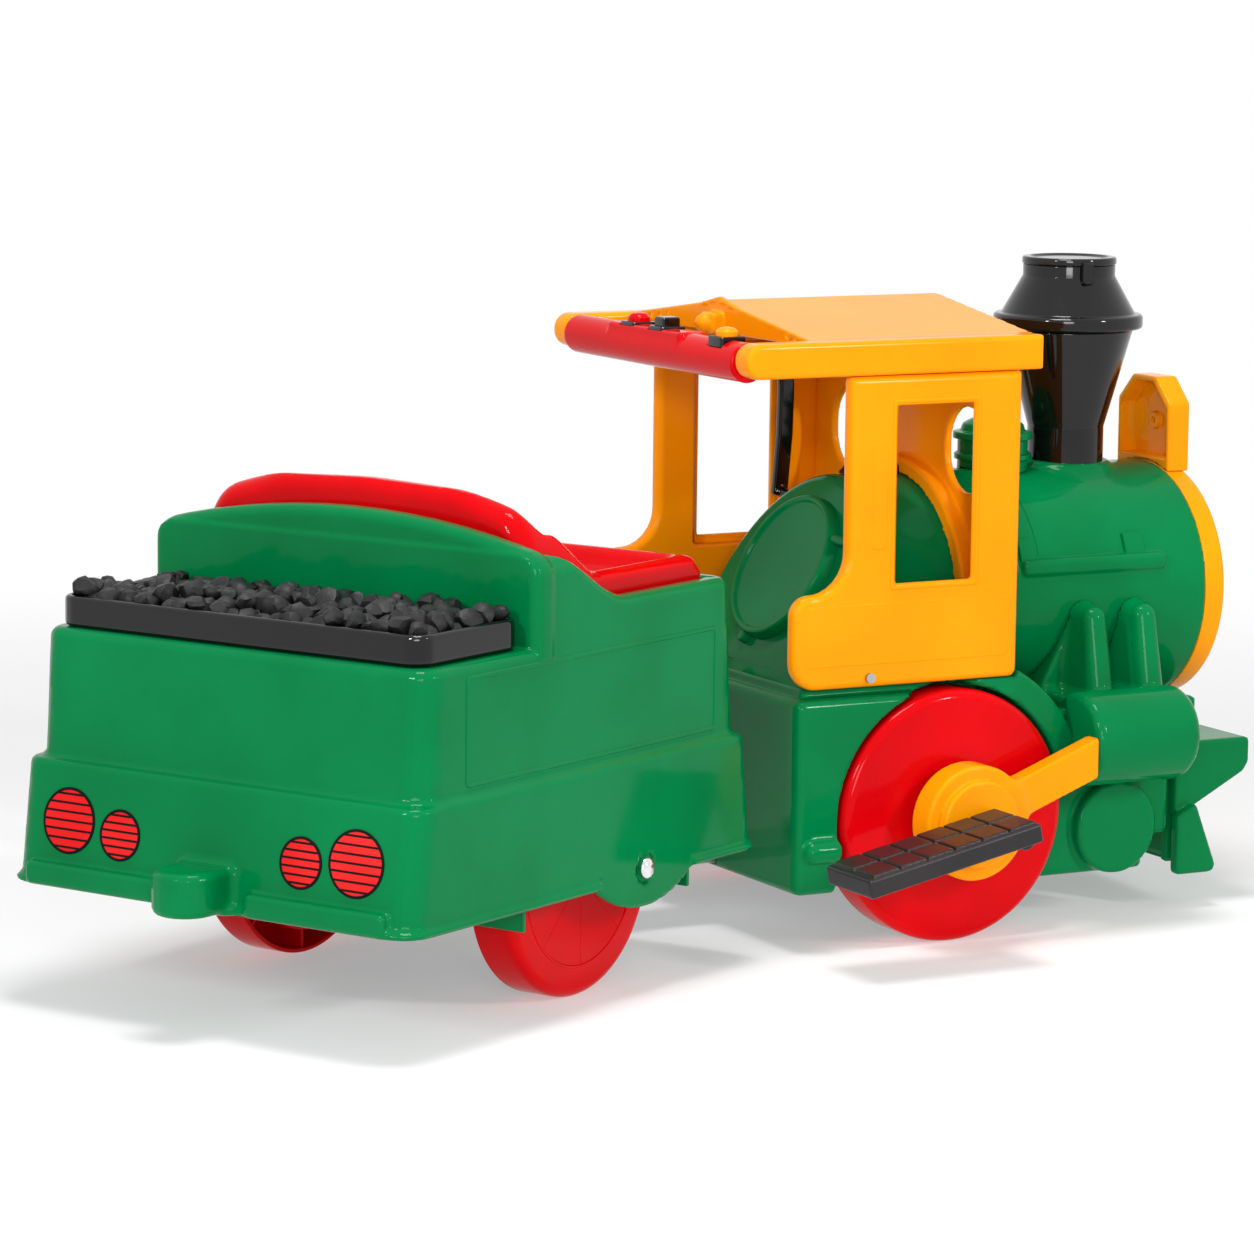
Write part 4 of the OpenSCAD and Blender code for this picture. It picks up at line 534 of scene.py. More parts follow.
def cast(name, form, cell, place, body, material, nodes=(), share=0.4):
    """A form as a piece: netted, thinned, settled onto its surface and shaded by its own slope."""
    low = form.low - MARGIN * cell
    counts = (np.ceil((form.high + MARGIN * cell - low) / cell / BATCH).astype(int)) * BATCH
    points, quads = netted(sampled(form, low, cell, counts), low, cell)
    mesh = mesh_from(name, settled(form, points, cell), quads)
    if share < 1:
        mesh = thinned(mesh, share)
        mesh.name = name
    points = settled(form, points_of(mesh), cell)
    way = slope(form, points)
    turn = np.array(place)[:3, :3] / np.linalg.norm(np.array(place)[:3, 0])
    way = (way / np.maximum(np.linalg.norm(way, axis=1), 1e-9)[:, None]) @ turn.T
    mesh.vertices.foreach_set("co", placed(points, place).astype(np.float32).ravel())
    mesh.update()
    piece = finished(name, mesh, body, material, nodes)
    mesh.normals_split_custom_set_from_vertices(way.astype(np.float32))
    return piece


# Turned, lofted and raised shapes


def inset(points, by):
    """An outline moved inwards by a small distance."""
    flat = np.array([p[:2] for p in points], float)
    ahead = np.roll(flat, -1, 0) - flat
    ahead /= np.linalg.norm(ahead, axis=1)[:, None]
    way = ahead + np.roll(ahead, 1, 0)
    way /= np.linalg.norm(way, axis=1)[:, None]
    inward = np.stack([-way[:, 1], way[:, 0]], 1)
    mitre = np.clip((inward * np.stack([-ahead[:, 1], ahead[:, 0]], 1)).sum(1), 0.3, 1)
    on = np.roll(flat, -1, 0)
    turn = np.sign((flat[:, 0] * on[:, 1] - on[:, 0] * flat[:, 1]).sum())
    return (flat + inward * (turn * by / mitre)[:, None]).tolist()


class Bench:
    """Turned, lofted and raised shapes gathered into one piece."""

    def __init__(self):
        self.mesh = bmesh.new()

    def loft(self, loops, closed=False):
        """Skin over rings of points. Closed joins the last ring to the first, else both ends are filled."""
        rings = [[self.mesh.verts.new(point) for point in loop] for loop in loops]
        faces = []
        for first, last in zip(rings, rings[1:] + (rings[:1] if closed else [])):
            for i, here in enumerate(first):
                k = (i + 1) % len(first)
                faces.append(self.mesh.faces.new((here, first[k], last[k], last[i])))
        if not closed:
            faces += [self.mesh.faces.new(rings[0]), self.mesh.faces.new(rings[-1])]
        bmesh.ops.remove_doubles(self.mesh, verts=[v for ring in rings for v in ring], dist=1e-4)
        bmesh.ops.recalc_face_normals(self.mesh, faces=[f for f in faces if f.is_valid])
        return self

    def lathe(self, axis, profile, at, sides=96):
        """A (radius, place along the axis) outline turned about the axis through at."""
        a, (u, v) = AXES[axis]
        loops = []
        for i in range(sides):
            angle = 2 * math.pi * i / sides
            loop = []
            for point in profile:
                spot = [0, 0, 0]
                spot[a] = point[1]
                spot[u] = at[0] + point[0] * math.cos(angle)
                spot[v] = at[1] + point[0] * math.sin(angle)
                loop.append(spot)
            loops.append(loop)
        return self.loft(loops, closed=True)

    def raised(self, axis, outer, start, end, edge, inner=None):
        """An outline given a thickness with its far edges beveled, open inside if an inner one is given."""
        a, (u, v) = AXES[axis]
        bevel = math.copysign(edge, end - start)

        def ring(points, along_axis):
            loop = []
            for point in points:
                spot = [0, 0, 0]
                spot[a], spot[u], spot[v] = along_axis, point[0], point[1]
                loop.append(spot)
            return loop
        loops = [ring(outer, start), ring(outer, end - bevel), ring(inset(outer, edge), end)]
        if inner:
            loops += [ring(inset(inner, -edge), end), ring(inner, end - bevel), ring(inner, start)]
        return self.loft(loops, closed=bool(inner))

    def done(self, name, place, body, material, nodes=(), crease=35):
        bmesh.ops.transform(self.mesh, matrix=place, verts=self.mesh.verts)
        mesh = bpy.data.meshes.new(name)
        self.mesh.to_mesh(mesh)
        self.mesh.free()
        piece = finished(name, mesh, body, material, nodes)
        mesh.set_sharp_from_angle(angle=math.radians(crease))
        return piece


# Tender

TENDER_HALF, SKIRT_HALF = 207, 214
LEDGE_Z, SKIRT_LOW, LEDGE_FRONT, SKIRT_FLARE = 210, 105, 487, 14
DECK_Z, WALL_TOP = 321, 351
BOARD_X0, BOARD_X1, BOARD_TOP, BOARD_SIDE = 169, 195, 425, 398
BODY_REAR, BODY_FRONT = (8, 24), (483, 465)  # at the foot of the walls and at the top
CAP_X, CAP_Z, CAP_SEAT_R = 324, 113, 13.5
LOBE_R, LOBE_Z, LOBE_T, LIP = 121, 200, 7, 4
LUG_OUT, LUG_HALF, LUG_TOP = -66, 28, 143
SEAT_X0, SEAT_X1, SEAT_HALF, SEAT_TOP, SEAT_PAN = 196.2, 454, 189, 452, 349


def flared_body(half, corner, rear, front, start, end, edge):
    """A box with rounded corners in plan, whose rear and front go from one x to another with the height."""
    mean = (sum(front) - sum(rear)) / 2
    plan = box_outline(0, mean, -half, half, corner)
    mid, tall = (start + end) / 2, (end - start) / 2

    def depth(p):
        t = (p[2] - start) / (end - start)
        back = rear[0] + (rear[1] - rear[0]) * t
        length = front[0] + (front[1] - front[0]) * t - back
        side = outline_depth((p[0] - back) / length * mean, p[1], plan)
        return -soft_min(-side, tall - np.abs(p[2] - mid), edge)
    return Form(depth, (min(rear), -half, start), (max(front), half, end))


def arc_outline(top, half, low, r):
    """A board seen from behind: an arched top between rounded shoulders."""
    drop = BOARD_TOP - BOARD_SIDE
    sweep_r = (TENDER_HALF ** 2 + drop ** 2) / (2 * drop)
    ys = np.linspace(-half, half, 15)
    arch = [(y, top - sweep_r + math.sqrt(sweep_r ** 2 - y * y)) for y in ys]
    arch = [(arch[0][0], arch[0][1], r)] + arch[1:-1] + [(arch[-1][0], arch[-1][1], r)]
    return eased(arch + [(half, low, 0), (-half, low, 0)], 0)


def tender_shell():
    front = LEDGE_FRONT + SKIRT_FLARE
    skirt = flared_body(SKIRT_HALF, 22, (-SKIRT_FLARE, 0), (front, LEDGE_FRONT), SKIRT_LOW, LEDGE_Z, 5)
    upper = flared_body(TENDER_HALF, 24, BODY_REAR, BODY_FRONT, LEDGE_Z - 30, BOARD_TOP + 15, 0)
    profile = ([(-FAR, 0), (-FAR, DECK_Z), (BOARD_X0, DECK_Z), (BOARD_X0, BOARD_SIDE)]
               + sweep(BOARD_X1 - 6, BOARD_SIDE, 314, WALL_TOP) + [(FAR, WALL_TOP), (FAR, 0)])
    upper = upper.keep(plate("y", profile, -FAR, FAR), 9)
    upper = upper.keep(plate("x", box_outline(-TENDER_HALF, TENDER_HALF, 0, BOARD_SIDE, 20), -FAR, FAR))
    board = plate("x", arc_outline(BOARD_TOP, TENDER_HALF, DECK_Z - 9, 24), BOARD_X0, BOARD_X1, 10)
    lip = plate("z", box_outline(-SKIRT_FLARE - LIP, front + LIP, -SKIRT_HALF - LIP, SKIRT_HALF + LIP, 26),
                SKIRT_LOW, SKIRT_LOW + LIP, 1.8)
    lip = lip.cut(block(CAP_X - 72, CAP_X + 72, -FAR, FAR, 0, FAR))
    lobe = bar("y", LOBE_R, -SKIRT_HALF, -SKIRT_HALF + LOBE_T, (CAP_X, LOBE_Z), 2.5)
    lobe = lobe.keep(block(-FAR, FAR, -FAR, 0, 0, SKIRT_LOW + 35)).both_sides()
    bumper = block(-23, 6, -192, -46, SKIRT_LOW, SKIRT_LOW + 20, 5).both_sides()
    lug = eased([(20, -LUG_HALF, 0), (20, LUG_HALF, 0), (LUG_OUT, LUG_HALF, 27), (LUG_OUT, -LUG_HALF, 27)], 0)
    body = upper.join(board, 5).join(skirt, 7).join(lip, 6).join(lobe)
    body = body.join(bumper, 3).join(plate("z", lug, SKIRT_LOW, LUG_TOP, 7), 8)
    body = body.cut(plate("z", box_outline(12, 475, -204, 204, 14), 0, LEDGE_Z - 7))
    body = body.cut(plate("z", box_outline(34, 454, -198, 198, 14), 0, DECK_Z - 7))
    body = body.cut(block(SEAT_X0 - 0.7, SEAT_X1 + 1, -SEAT_HALF - 1, SEAT_HALF + 1, 0, FAR))
    body = body.cut(bar("z", 8, 0, SKIRT_LOW + 30, (LUG_OUT + LUG_HALF, 0)), 1)
    return body.cut(bar("y", CAP_SEAT_R, -FAR, -SKIRT_HALF + 2.2, (CAP_X, CAP_Z), 0.8).both_sides(), 1)


cast("tender_shell", tender_shell(), 4, *ON_TENDER, GREEN, ["tender_skirt", "tender_body"])

PANEL_X0, PANEL_X1, PANEL_Z0, PANEL_Z1, BEAD = 70, 440, 218, 311, 4

for side, y in SIDES:
    panel = Bench()
    panel.raised("y", box_outline(PANEL_X0, PANEL_X1, PANEL_Z0, PANEL_Z1, 5),
                 y * (TENDER_HALF - 1.5), y * (TENDER_HALF + 1.1), 0.9,
                 box_outline(PANEL_X0 + BEAD, PANEL_X1 - BEAD, PANEL_Z0 + BEAD, PANEL_Z1 - BEAD, 3))
    panel.done("tender_panel_" + side, *ON_TENDER, GREEN)

# Seat

SEAT_RIM, BOWL_HALF, BACK_X = 371, 165, 217


def seat_shell():
    side = eased([(SEAT_X0, SEAT_PAN - 19, 0), (SEAT_X0, SEAT_TOP, 0)]
                 + [p + (0,) for p in sweep(SEAT_X0 + 14, SEAT_TOP, 296, SEAT_RIM)]
                 + [(SEAT_X1 - 14, SEAT_RIM, 14), (SEAT_X1, SEAT_RIM - 14, 10),
                    (SEAT_X1, SEAT_PAN - 16, 0)], 0)
    half = [(SEAT_HALF, 300, 0), (SEAT_HALF, 376, 22), (160, 428, 40), (98, 446, 90)]
    behind = half + [(0, SEAT_TOP + 1.5, 160)] + [(-y, z, r) for y, z, r in half[::-1]]
    shell = plate("y", side, -SEAT_HALF, SEAT_HALF, 10).keep(plate("x", eased(behind, 0, 8), 0, FAR), 17)
    bowl = eased([(BACK_X + 7, SEAT_PAN, 26), (BACK_X, 500, 0), (452, 500, 0), (428, SEAT_PAN, 30)], 0)
    shell = shell.cut(plate("y", bowl, -BOWL_HALF, BOWL_HALF, 12), 9)
    for y in (-21, 34):
        down = rod((180, y, 470), (BACK_X, y, 300), 3.2)
        over = rod((SEAT_X0 + 11, y, 470), (SEAT_X0 + 11, y, SEAT_TOP - 2), 3.2)
        shell = shell.cut(down.join(over), 2.5)
    return shell.cut(block(202, 448, -SEAT_HALF + 6, SEAT_HALF - 6, 0, SEAT_PAN - 5))


cast("seat_shell", seat_shell(), 3.5, *ON_TENDER, RED, ["seat"])

# Coal

TRAY_X0, TRAY_X1, TRAY_HALF, TRAY_H, TRAY_WALL = 25, 166, 195, 27, 6


def coal_bin():
    outer = box_outline(TRAY_X0, TRAY_X1, -TRAY_HALF, TRAY_HALF, 18)
    inner = box_outline(TRAY_X0 + TRAY_WALL, TRAY_X1 - TRAY_WALL, TRAY_WALL - TRAY_HALF,
                        TRAY_HALF - TRAY_WALL, 12)
    tray = plate("z", outer, DECK_Z + SEAT_GAP, DECK_Z + TRAY_H, 4)
    return tray.cut(plate("z", inner, DECK_Z + TRAY_WALL, FAR), 2)


cast("coal_bin", coal_bin(), 3, *ON_TENDER, BLACK, ["coal_tray"])


def coal_heap():
    """Broken lumps, each a rough ball pushed flat on a few sides, heaped over a bed."""
    draw = np.random.default_rng(17)
    heap = bmesh.new()
    rows, columns = 23, 9
    inner = (TRAY_X0 + 9, TRAY_X1 - 9, TRAY_HALF - 9)
    for row in range(rows):
        for column in range(columns):
            lump = bmesh.ops.create_icosphere(heap, subdivisions=2, radius=1)["verts"]
            ways = draw.normal(size=(9, 3))
            ways /= np.linalg.norm(ways, axis=1)[:, None]
            cuts = draw.uniform(0.55, 0.86, 9)
            size = draw.uniform(9, 14)
            x = inner[0] + (column + draw.uniform(0.2, 0.8)) * (inner[1] - inner[0]) / columns
            y = -inner[2] + (row + draw.uniform(0.2, 0.8)) * 2 * inner[2] / rows
            x = min(max(x, inner[0] + size * 0.55), inner[1] - size * 0.55)
            y = min(max(y, -inner[2] + size * 0.55), inner[2] - size * 0.55)
            middle_share = 1 - ((x - 95) / 75) ** 2 * 0.4
            z = DECK_Z + 17 + draw.uniform(3, 19) * middle_share
            squash = draw.uniform(0.75, 1.0)
            for vert in lump:
                p = np.array(vert.co)
                for way, reach in zip(ways, cuts):
                    over = p @ way - reach
                    if over > 0:
                        p = p - way * over * 0.94
                vert.co = (x + p[0] * size, y + p[1] * size, z + p[2] * size * squash)
    bed = bmesh.ops.create_grid(heap, x_segments=24, y_segments=60, size=1)["verts"]
    for vert in bed:
        x = 95.5 + vert.co.x * 63
        y = vert.co.y * 187
        vert.co = (x, y, DECK_Z + 15 + 4 * math.sin(x * 0.33) * math.sin(y * 0.29) + draw.uniform(-1.5, 1.5))
    bmesh.ops.transform(heap, matrix=TENDER, verts=heap.verts)
    mesh = bpy.data.meshes.new("coal_heap")
    heap.to_mesh(mesh)
    heap.free()
    piece = finished("coal_heap", mesh, "tender", COAL, ["coal_load"])
    mesh.set_sharp_from_angle(angle=math.radians(28))
    return piece


coal_heap()

# Tail lamps

REAR_LEAN = math.atan2(SKIRT_FLARE, LEDGE_Z - SKIRT_LOW)


def tail_lamp(name, y, z, r, stripes, nodes=()):
    """A red disc on the leaning rear wall, with a black rim and black stripes across it."""
    x = -SKIRT_FLARE * (LEDGE_Z - z) / (LEDGE_Z - SKIRT_LOW)
    place = (TENDER @ Matrix.Translation((x, y, z)) @ Matrix.Rotation(REAR_LEAN - math.pi / 2, 4, "Y"))
    disc = eased([(0, -1, 0), (r - 0.6, -1, 0), (r - 0.6, 0.7, 0.5), (0, 0.7, 0)], 0)
    Bench().lathe("z", disc, (0, 0), 72).done(name, place, "tender", LAMP_RED, nodes)
    lines = Bench()
    lines.lathe("z", eased([(r - 2.4, -1, 0), (r, -1, 0), (r, 1.1, 0.4), (r - 2.4, 1.1, 0.4)], 0), (0, 0), 72)
    for i in range(stripes):
        up = (2 * (i + 0.5) / stripes - 1) * (r - 2)
        reach = math.sqrt(r * r - up * up) - 1.2
        lines.raised("z", box_outline(up - 0.95, up + 0.95, -reach, reach, 0.3), 0.2, 0.95, 0.15)
    lines.done(name + "_lines", place, "tender", PRINT_BLACK)


for side, y in SIDES:
    tail_lamp("big_lamp_" + side, y * 154, 161, 28.5, 7, ["tail_lamp_discs"] if y < 0 else ())
    tail_lamp("small_lamp_" + side, y * 97, 155, 22, 6)

# Wheels


def wheel(name, r, width, hub, x, face, side, place, body, node, drum=0, ring=0):
    """A moulded wheel: face with a rounded edge, tread, hub and ribs inside, the face at y = side * face."""
    def out(depth):
        return side * (face - depth)

    def spoke(angle, start, end, half):
        c, s = math.cos(angle), math.sin(angle)
        return [(x + c * reach - s * across, r + s * reach + c * across)
                for reach, across in ((start, -half), (end, -half), (end, half), (start, half))]
    skin, bore, hub_r, round_r = 4, 6.05, 17, 10
    shell = [(bore, 0, 0), (r, 0, round_r), (r, width, 1.2), (r - skin, width, 1.2), (r - skin, skin, 5),
             (hub_r, skin, 3), (hub_r, hub, 1), (bore, hub, 0)]
    if ring:
        shell[1:1] = [(ring - 3, 0, 0.4), (ring - 2.2, -0.9, 0.4), (ring - 0.6, -0.9, 0.4), (ring, 0, 0.4)]
    made = Bench()
    made.lathe("y", [(p[0], out(p[1])) for p in eased(shell, 0, 8)], (x, r), 128)
    if drum:
        made.lathe("y", [(p[0], out(p[1])) for p in eased([(85, width - 8, 0), (85, width + drum, 2),
                                                           (81, width + drum, 1), (81, width - 16, 0),
                                                           (85, width - 16, 0)], 0)], (x, r), 96)
    for i in range(8):
        angle = math.pi * i / 4
        made.raised("y", spoke(angle, hub_r - 1, r - skin + 1, 2), out(skin - 1), out(width - 4), 0.8)
        if ring:
            made.raised("y", spoke(angle, hub_r - 1, ring - 3, 0.3), out(0.5), out(-0.25), 0.1)
    made.done(name, place, body, RED, [node])


for side, y in SIDES:
    wheel("front_wheel_" + side + "_moulded", 117, 44, 44, 0, 194, y, LOCO, "front_wheel_" + side,
          "front_wheel_" + side)
    wheel("rear_wheel_" + side + "_moulded", 107, 41, 49, 287, 171.5, y, TENDER, "rear_wheel_" + side,
          "rear_wheel_" + side, 8, 81)

# Locomotive frame

AXLE_Z, DECK, CHASSIS_LOW = 117, 241, 54
CHASSIS_REAR, CHASSIS_HALF, CAB_FRONT = -164, 189, 69
FRAME_HALF, FRAME_FRONT, FRAME_TOP, FRAME_LOW = 152, 300, 200, 42
ARCH_R, WELL_R, WELL_IN, INNER_HALF = 147, 120.5, 146, 136.3
PONY = (198, 86)
BOILER_Z, BOILER_R, BOILER_FRONT = 296, 114.5, 325
BACKHEAD = (-66, 330)
BACKHEAD_LEAN = math.radians(28)


def boiler_barrel(r, front, back=0.0, edge=0.0):
    """The boiler's barrel with its leaning rear end, that end moved forward by back."""
    c, s = math.cos(BACKHEAD_LEAN), math.sin(BACKHEAD_LEAN)
    x, z = BACKHEAD[0] + back, BACKHEAD[1]
    ends = (-150, -r, BOILER_Z - r), (front, r, BOILER_Z + r)
    wall = Form(lambda p: (x - p[0]) * c + (p[2] - z) * s, *ends)
    return bar("x", r, -300, front, (0, BOILER_Z)).keep(wall, edge)


def loco_chassis():
    rear = block(CHASSIS_REAR, CAB_FRONT, -CHASSIS_HALF, CHASSIS_HALF, CHASSIS_LOW, DECK - 8, 9)
    rear = rear.join(block(CHASSIS_REAR + 10, CAB_FRONT, -176, 176, DECK - 26, DECK, 3), 2)
    arch = bar("y", ARCH_R, 1 - CHASSIS_HALF, CHASSIS_HALF - 1, (0, AXLE_Z), 4)
    arch = arch.keep(block(4, ARCH_R + 3, -FAR, FAR, 146, FAR), 3)
    arch = arch.cut(block(-FAR, 67.4, -FAR, FAR, DECK - SEAT_GAP, FAR))
    front = block(30, 264, -FRAME_HALF, FRAME_HALF, FRAME_LOW, FRAME_TOP, 7)
    front = front.join(block(240, FRAME_FRONT, -139.5, 139.5, FRAME_LOW, FRAME_TOP, 3))
    front = front.cut(block(234, 270, -160, -120, 30, 74, 3).both_sides(), 3)
    pony = bar("y", 44, -FRAME_HALF - 12, -FRAME_HALF + 4, PONY, 4).both_sides()
    link = block(120, 140, -168, -148, 182, 203, 3)
    for x in (127, 133):
        link = link.join(block(x, x + 4, -171, -150, 180, 200, 1.5), 1)
    boss = rod((-146, 1 - CHASSIS_HALF, 94), (-112, 1 - CHASSIS_HALF, 94), 11).both_sides()
    body = rear.join(arch, 3).join(front, 6).join(pony, 3).join(link.both_sides(), 2).join(boss, 3)
    well = block(-WELL_R, WELL_R, -FAR, -WELL_IN, 0, AXLE_Z)
    well = bar("y", WELL_R, -FAR, -WELL_IN, (0, AXLE_Z)).join(well)
    body = body.cut(well.both_sides(), 3)
    body = body.join(block(-103, -79, -172.7, -157, DECK - 11, DECK + 21, 2).both_sides())
    for x0, x1, top in ((-153.6, -60, 101), (-150, 64, 228), (60, 130, 172)):
        body = body.cut(block(x0, x1, -INNER_HALF, INNER_HALF, 0, top))
    body = body.cut(block(140, FRAME_FRONT - 12, -130, 130, 0, 170))
    body = body.cut(boiler_barrel(BOILER_R + SEAT_GAP, FRAME_FRONT + 10))
    for r, y0, y1 in ((19.5, 130, 150), (10, -150, -130)):
        body = body.cut(bar("y", r, y0, y1, (0, AXLE_Z)))
    return body.cut(block(-FAR, -145, -40.3, 40.3, 59.7, 70.3))


cast("loco_chassis", loco_chassis(), 4, *ON_LOCO, GREEN, ["chassis"])

BEAM_BACK, BEAM_FRONT, BEAM_TOP = 271, 355, 159
CATCHER_LOW, CATCHER_FRONT = 34, 330


def front_beam():
    behind = block(0, FRAME_FRONT + 0.4, -FRAME_HALF - SEAT_GAP, FRAME_HALF + SEAT_GAP, 0, FAR)
    side = eased([(BEAM_BACK, 85, 3), (BEAM_FRONT - 6, 126, 7), (BEAM_FRONT, 135, 4),
                  (BEAM_FRONT, BEAM_TOP, 4), (BEAM_BACK, BEAM_TOP, 4)], 0)
    beam = plate("y", side, -FRAME_HALF, FRAME_HALF, 4).cut(block(0, FRAME_FRONT + 0.4, -140, 140, 0, FAR))
    wedge = block(280, CATCHER_FRONT, -150, 150, CATCHER_LOW, CATCHER_LOW + 70)

    def nose(p):
        return (p[0] - CATCHER_FRONT + 0.1 * np.abs(p[1]) + 0.38 * (p[2] - CATCHER_LOW)) / 1.07
    wedge = wedge.keep(Form(nose, wedge.low, wedge.high), 4).cut(behind)
    cheek = eased([(266, CATCHER_LOW, 5), (314, CATCHER_LOW, 7), (288, 101, 2), (266, 90, 2)], 0)
    return beam.join(wedge, 3).join(plate("y", cheek, -164.3, -151, 4).both_sides(), 2)


cast("front_beam", front_beam(), 3, *ON_LOCO, GREEN, ["buffer_beam"])

# Boiler

RAIL_Z, RAIL_X0, RAIL_X1, RAIL_HALF = 328, 119, 279, 8
RAIL_Y = math.sqrt(BOILER_R ** 2 - (RAIL_Z - BOILER_Z) ** 2)
FUNNEL, WHISTLE = (236, 0), (154, 0)


def boiler_shell():
    shell = boiler_barrel(BOILER_R, BOILER_FRONT, 0, 7)
    collar = bar("z", 40, BOILER_Z, BOILER_Z + BOILER_R + 2.5, FUNNEL, 2)
    rail = block(RAIL_X0, RAIL_X1, -RAIL_Y - 7, -RAIL_Y + 8, RAIL_Z - RAIL_HALF, RAIL_Z + RAIL_HALF, 5.5)
    peg = rod((192, 0, 400), (192, 0, 419), 5.5)
    shell = shell.join(rail.both_sides(), 3).join(collar, 12).join(peg, 2)
    return shell.cut(boiler_barrel(BOILER_R - 9.5, FAR, 10)).cut(block(70, 142, -37, 37, 191, 230))


cast("boiler_shell", boiler_shell(), 3.4, *ON_LOCO, GREEN, ["boiler"])

BARREL_PLATES = ((140, 230, 21, 62, 0.7), (236, 258, 19, 30, 3), (RAIL_X0, 136, 19, 30, 3))


def barrel_plates():
    """Shallow belts and pads moulded on the barrel above the rails."""
    made = Bench()
    for side in (-1, 1):
        for x0, x1, low, high, rise in BARREL_PLATES:
            loops = []
            for i in range(13):
                angle = math.radians(low + (high - low) * i / 12)
                c, s = math.cos(angle), math.sin(angle)
                near, far = BOILER_R - 1.5, BOILER_R + rise
                soft = min(0.8, rise / 2)
                loops.append([(x, side * r * c, BOILER_Z + r * s) for x, r in
                              ((x0, near), (x0, far - soft), (x0 + soft, far), (x1 - soft, far),
                               (x1, far - soft), (x1, near))])
            made.loft(loops)
    made.done("barrel_plates", *ON_LOCO, GREEN)


barrel_plates()

ON_BACKHEAD = (LOCO @ Matrix.Translation((BACKHEAD[0], 0, BACKHEAD[1]))
               @ Matrix.Rotation(BACKHEAD_LEAN - math.pi / 2, 4, "Y"))
cover = Bench()
cover.lathe("z", eased([(0, SEAT_GAP, 0), (73, SEAT_GAP, 0), (70.5, 12, 3), (66, 12, 3), (64, 8.5, 1.5),
                        (0, 8.5, 0)], 0), (-6, -2), 128)
cover.lathe("y", eased([(0, -92, 0), (5, -92, 3), (5, -66, 0), (0, -66, 0)], 0), (30, 5.5), 28)
cover.lathe("z", eased([(0, SEAT_GAP, 0), (6, SEAT_GAP, 0), (6, 8, 2.5), (0, 8, 0)], 0), (-80, 14), 40)
cover.done("backhead_disc", ON_BACKHEAD, "locomotive", GREEN, ["backhead_cover"])

smokebox = Bench()
smokebox.lathe("x", eased([(0, 338, 0), (100.5, 338, 2), (100.5, 313, 1), (104.5, 313, 1), (104.5, 325, 0),
                           (114.5, 325, 1), (114.5, 348, 5), (84, 348, 2), (80, 350.5, 2), (9, 350.5, 2),
                           (9, 354, 3), (0, 354, 0)], 0), (0, BOILER_Z), 128)
smokebox.done("smokebox_door", *ON_LOCO, YELLOW, ["smokebox_front"])


LAMP_Z, LAMP_TOP, LAMP_HALF, LAMP_CUT = 448, 492, 44, 24


def lamp_case():
    def outline(by):
        half, top = LAMP_HALF - by, LAMP_TOP - by
        return eased([(-half, 300, 0), (half, 300, 0), (half, top - LAMP_CUT, 4), (half - LAMP_CUT, top, 4),
                      (LAMP_CUT - half, top, 4), (-half, top - LAMP_CUT, 4)], 0)
    case = plate("x", outline(0), 325, 350, 3)
    hollow = plate("x", outline(5), 0, 342).keep(block(0, FAR, -FAR, FAR, 414.5, FAR))
    boss = bar("x", 8, 337, 347, (0, LAMP_Z)).cut(bar("x", 2.6, 0, FAR, (0, LAMP_Z)))
    case = case.cut(hollow, 1.5).cut(bar("x", 30, 346.5, FAR, (0, LAMP_Z)), 1)
    return case.join(boss, 1).cut(bar("x", BOILER_R + SEAT_GAP, 0, FAR, (0, BOILER_Z)))


cast("lamp_case", lamp_case(), 2.2, *ON_LOCO, YELLOW, ["headlamp_housing"])

stack = Bench()
stack.lathe("z", eased([(32.5, 398, 0), (36.5, 398, 1), (36.5, 447, 6), (62.5, 541, 2), (58.5, 541, 1),
                        (32.5, 447, 5)], 0), FUNNEL)
stack.done("funnel_stack", *ON_LOCO, BLACK, ["funnel_base"])
crown = Bench()
crown.lathe("z", eased([(54.5, 541.3, 1), (71.5, 541.3, 3.5), (71.5, 555.3, 4), (64, 555.3, 2.5),
                        (44, 591, 2), (44, 602, 1), (40, 602, 1), (40, 591, 2), (54.5, 555.3, 2)], 0), FUNNEL)
crown.done("funnel_crown", *ON_LOCO, BLACK, ["funnel_top"])
lid = Bench()
lid.lathe("z", eased([(0, 595.3, 0), (39.7, 595.3, 1), (39.7, 602.3, 0), (45, 602.3, 1), (45, 609.3, 2.5),
                      (38, 609.3, 1.5), (36, 607.8, 1.5), (0, 607.8, 0)], 0), FUNNEL)
lid.raised("y", box_outline(221, 233, 585, 606, 3), -43.5, -48.5, 1.2)
lid.done("funnel_cap", *ON_LOCO, BLACK, ["funnel_lid"])


def whistle():
    body = turned("z", eased([(0, 380, 0), (33.5, 380, 0), (33.5, 418, 0.5), (36.5, 418.5, 1),
                              (36.5, 424, 1.5), (33.5, 424.5, 0.5), (33.5, 437.5, 0.5), (38, 438, 1),
                              (38, 444.5, 2), (31, 445.5, 1), (29, 452, 4), (20, 457, 8), (0, 458.5, 0)], 0),
                  WHISTLE)
    return body.cut(bar("x", BOILER_R + SEAT_GAP, 0, FAR, (0, BOILER_Z)))


cast("whistle", whistle(), 1.6, *ON_LOCO, GREEN, ["whistle_dome"])

CHEST_X0, CHEST_X1, CHEST_R, CHEST = 131, 248, 44, (-188, 178)
PIPE_XS, PIPE_FOOT, PIPE_HEAD, PIPE_DRAFT = (186, 242), (-150, 172), (-130, 279), 0.22


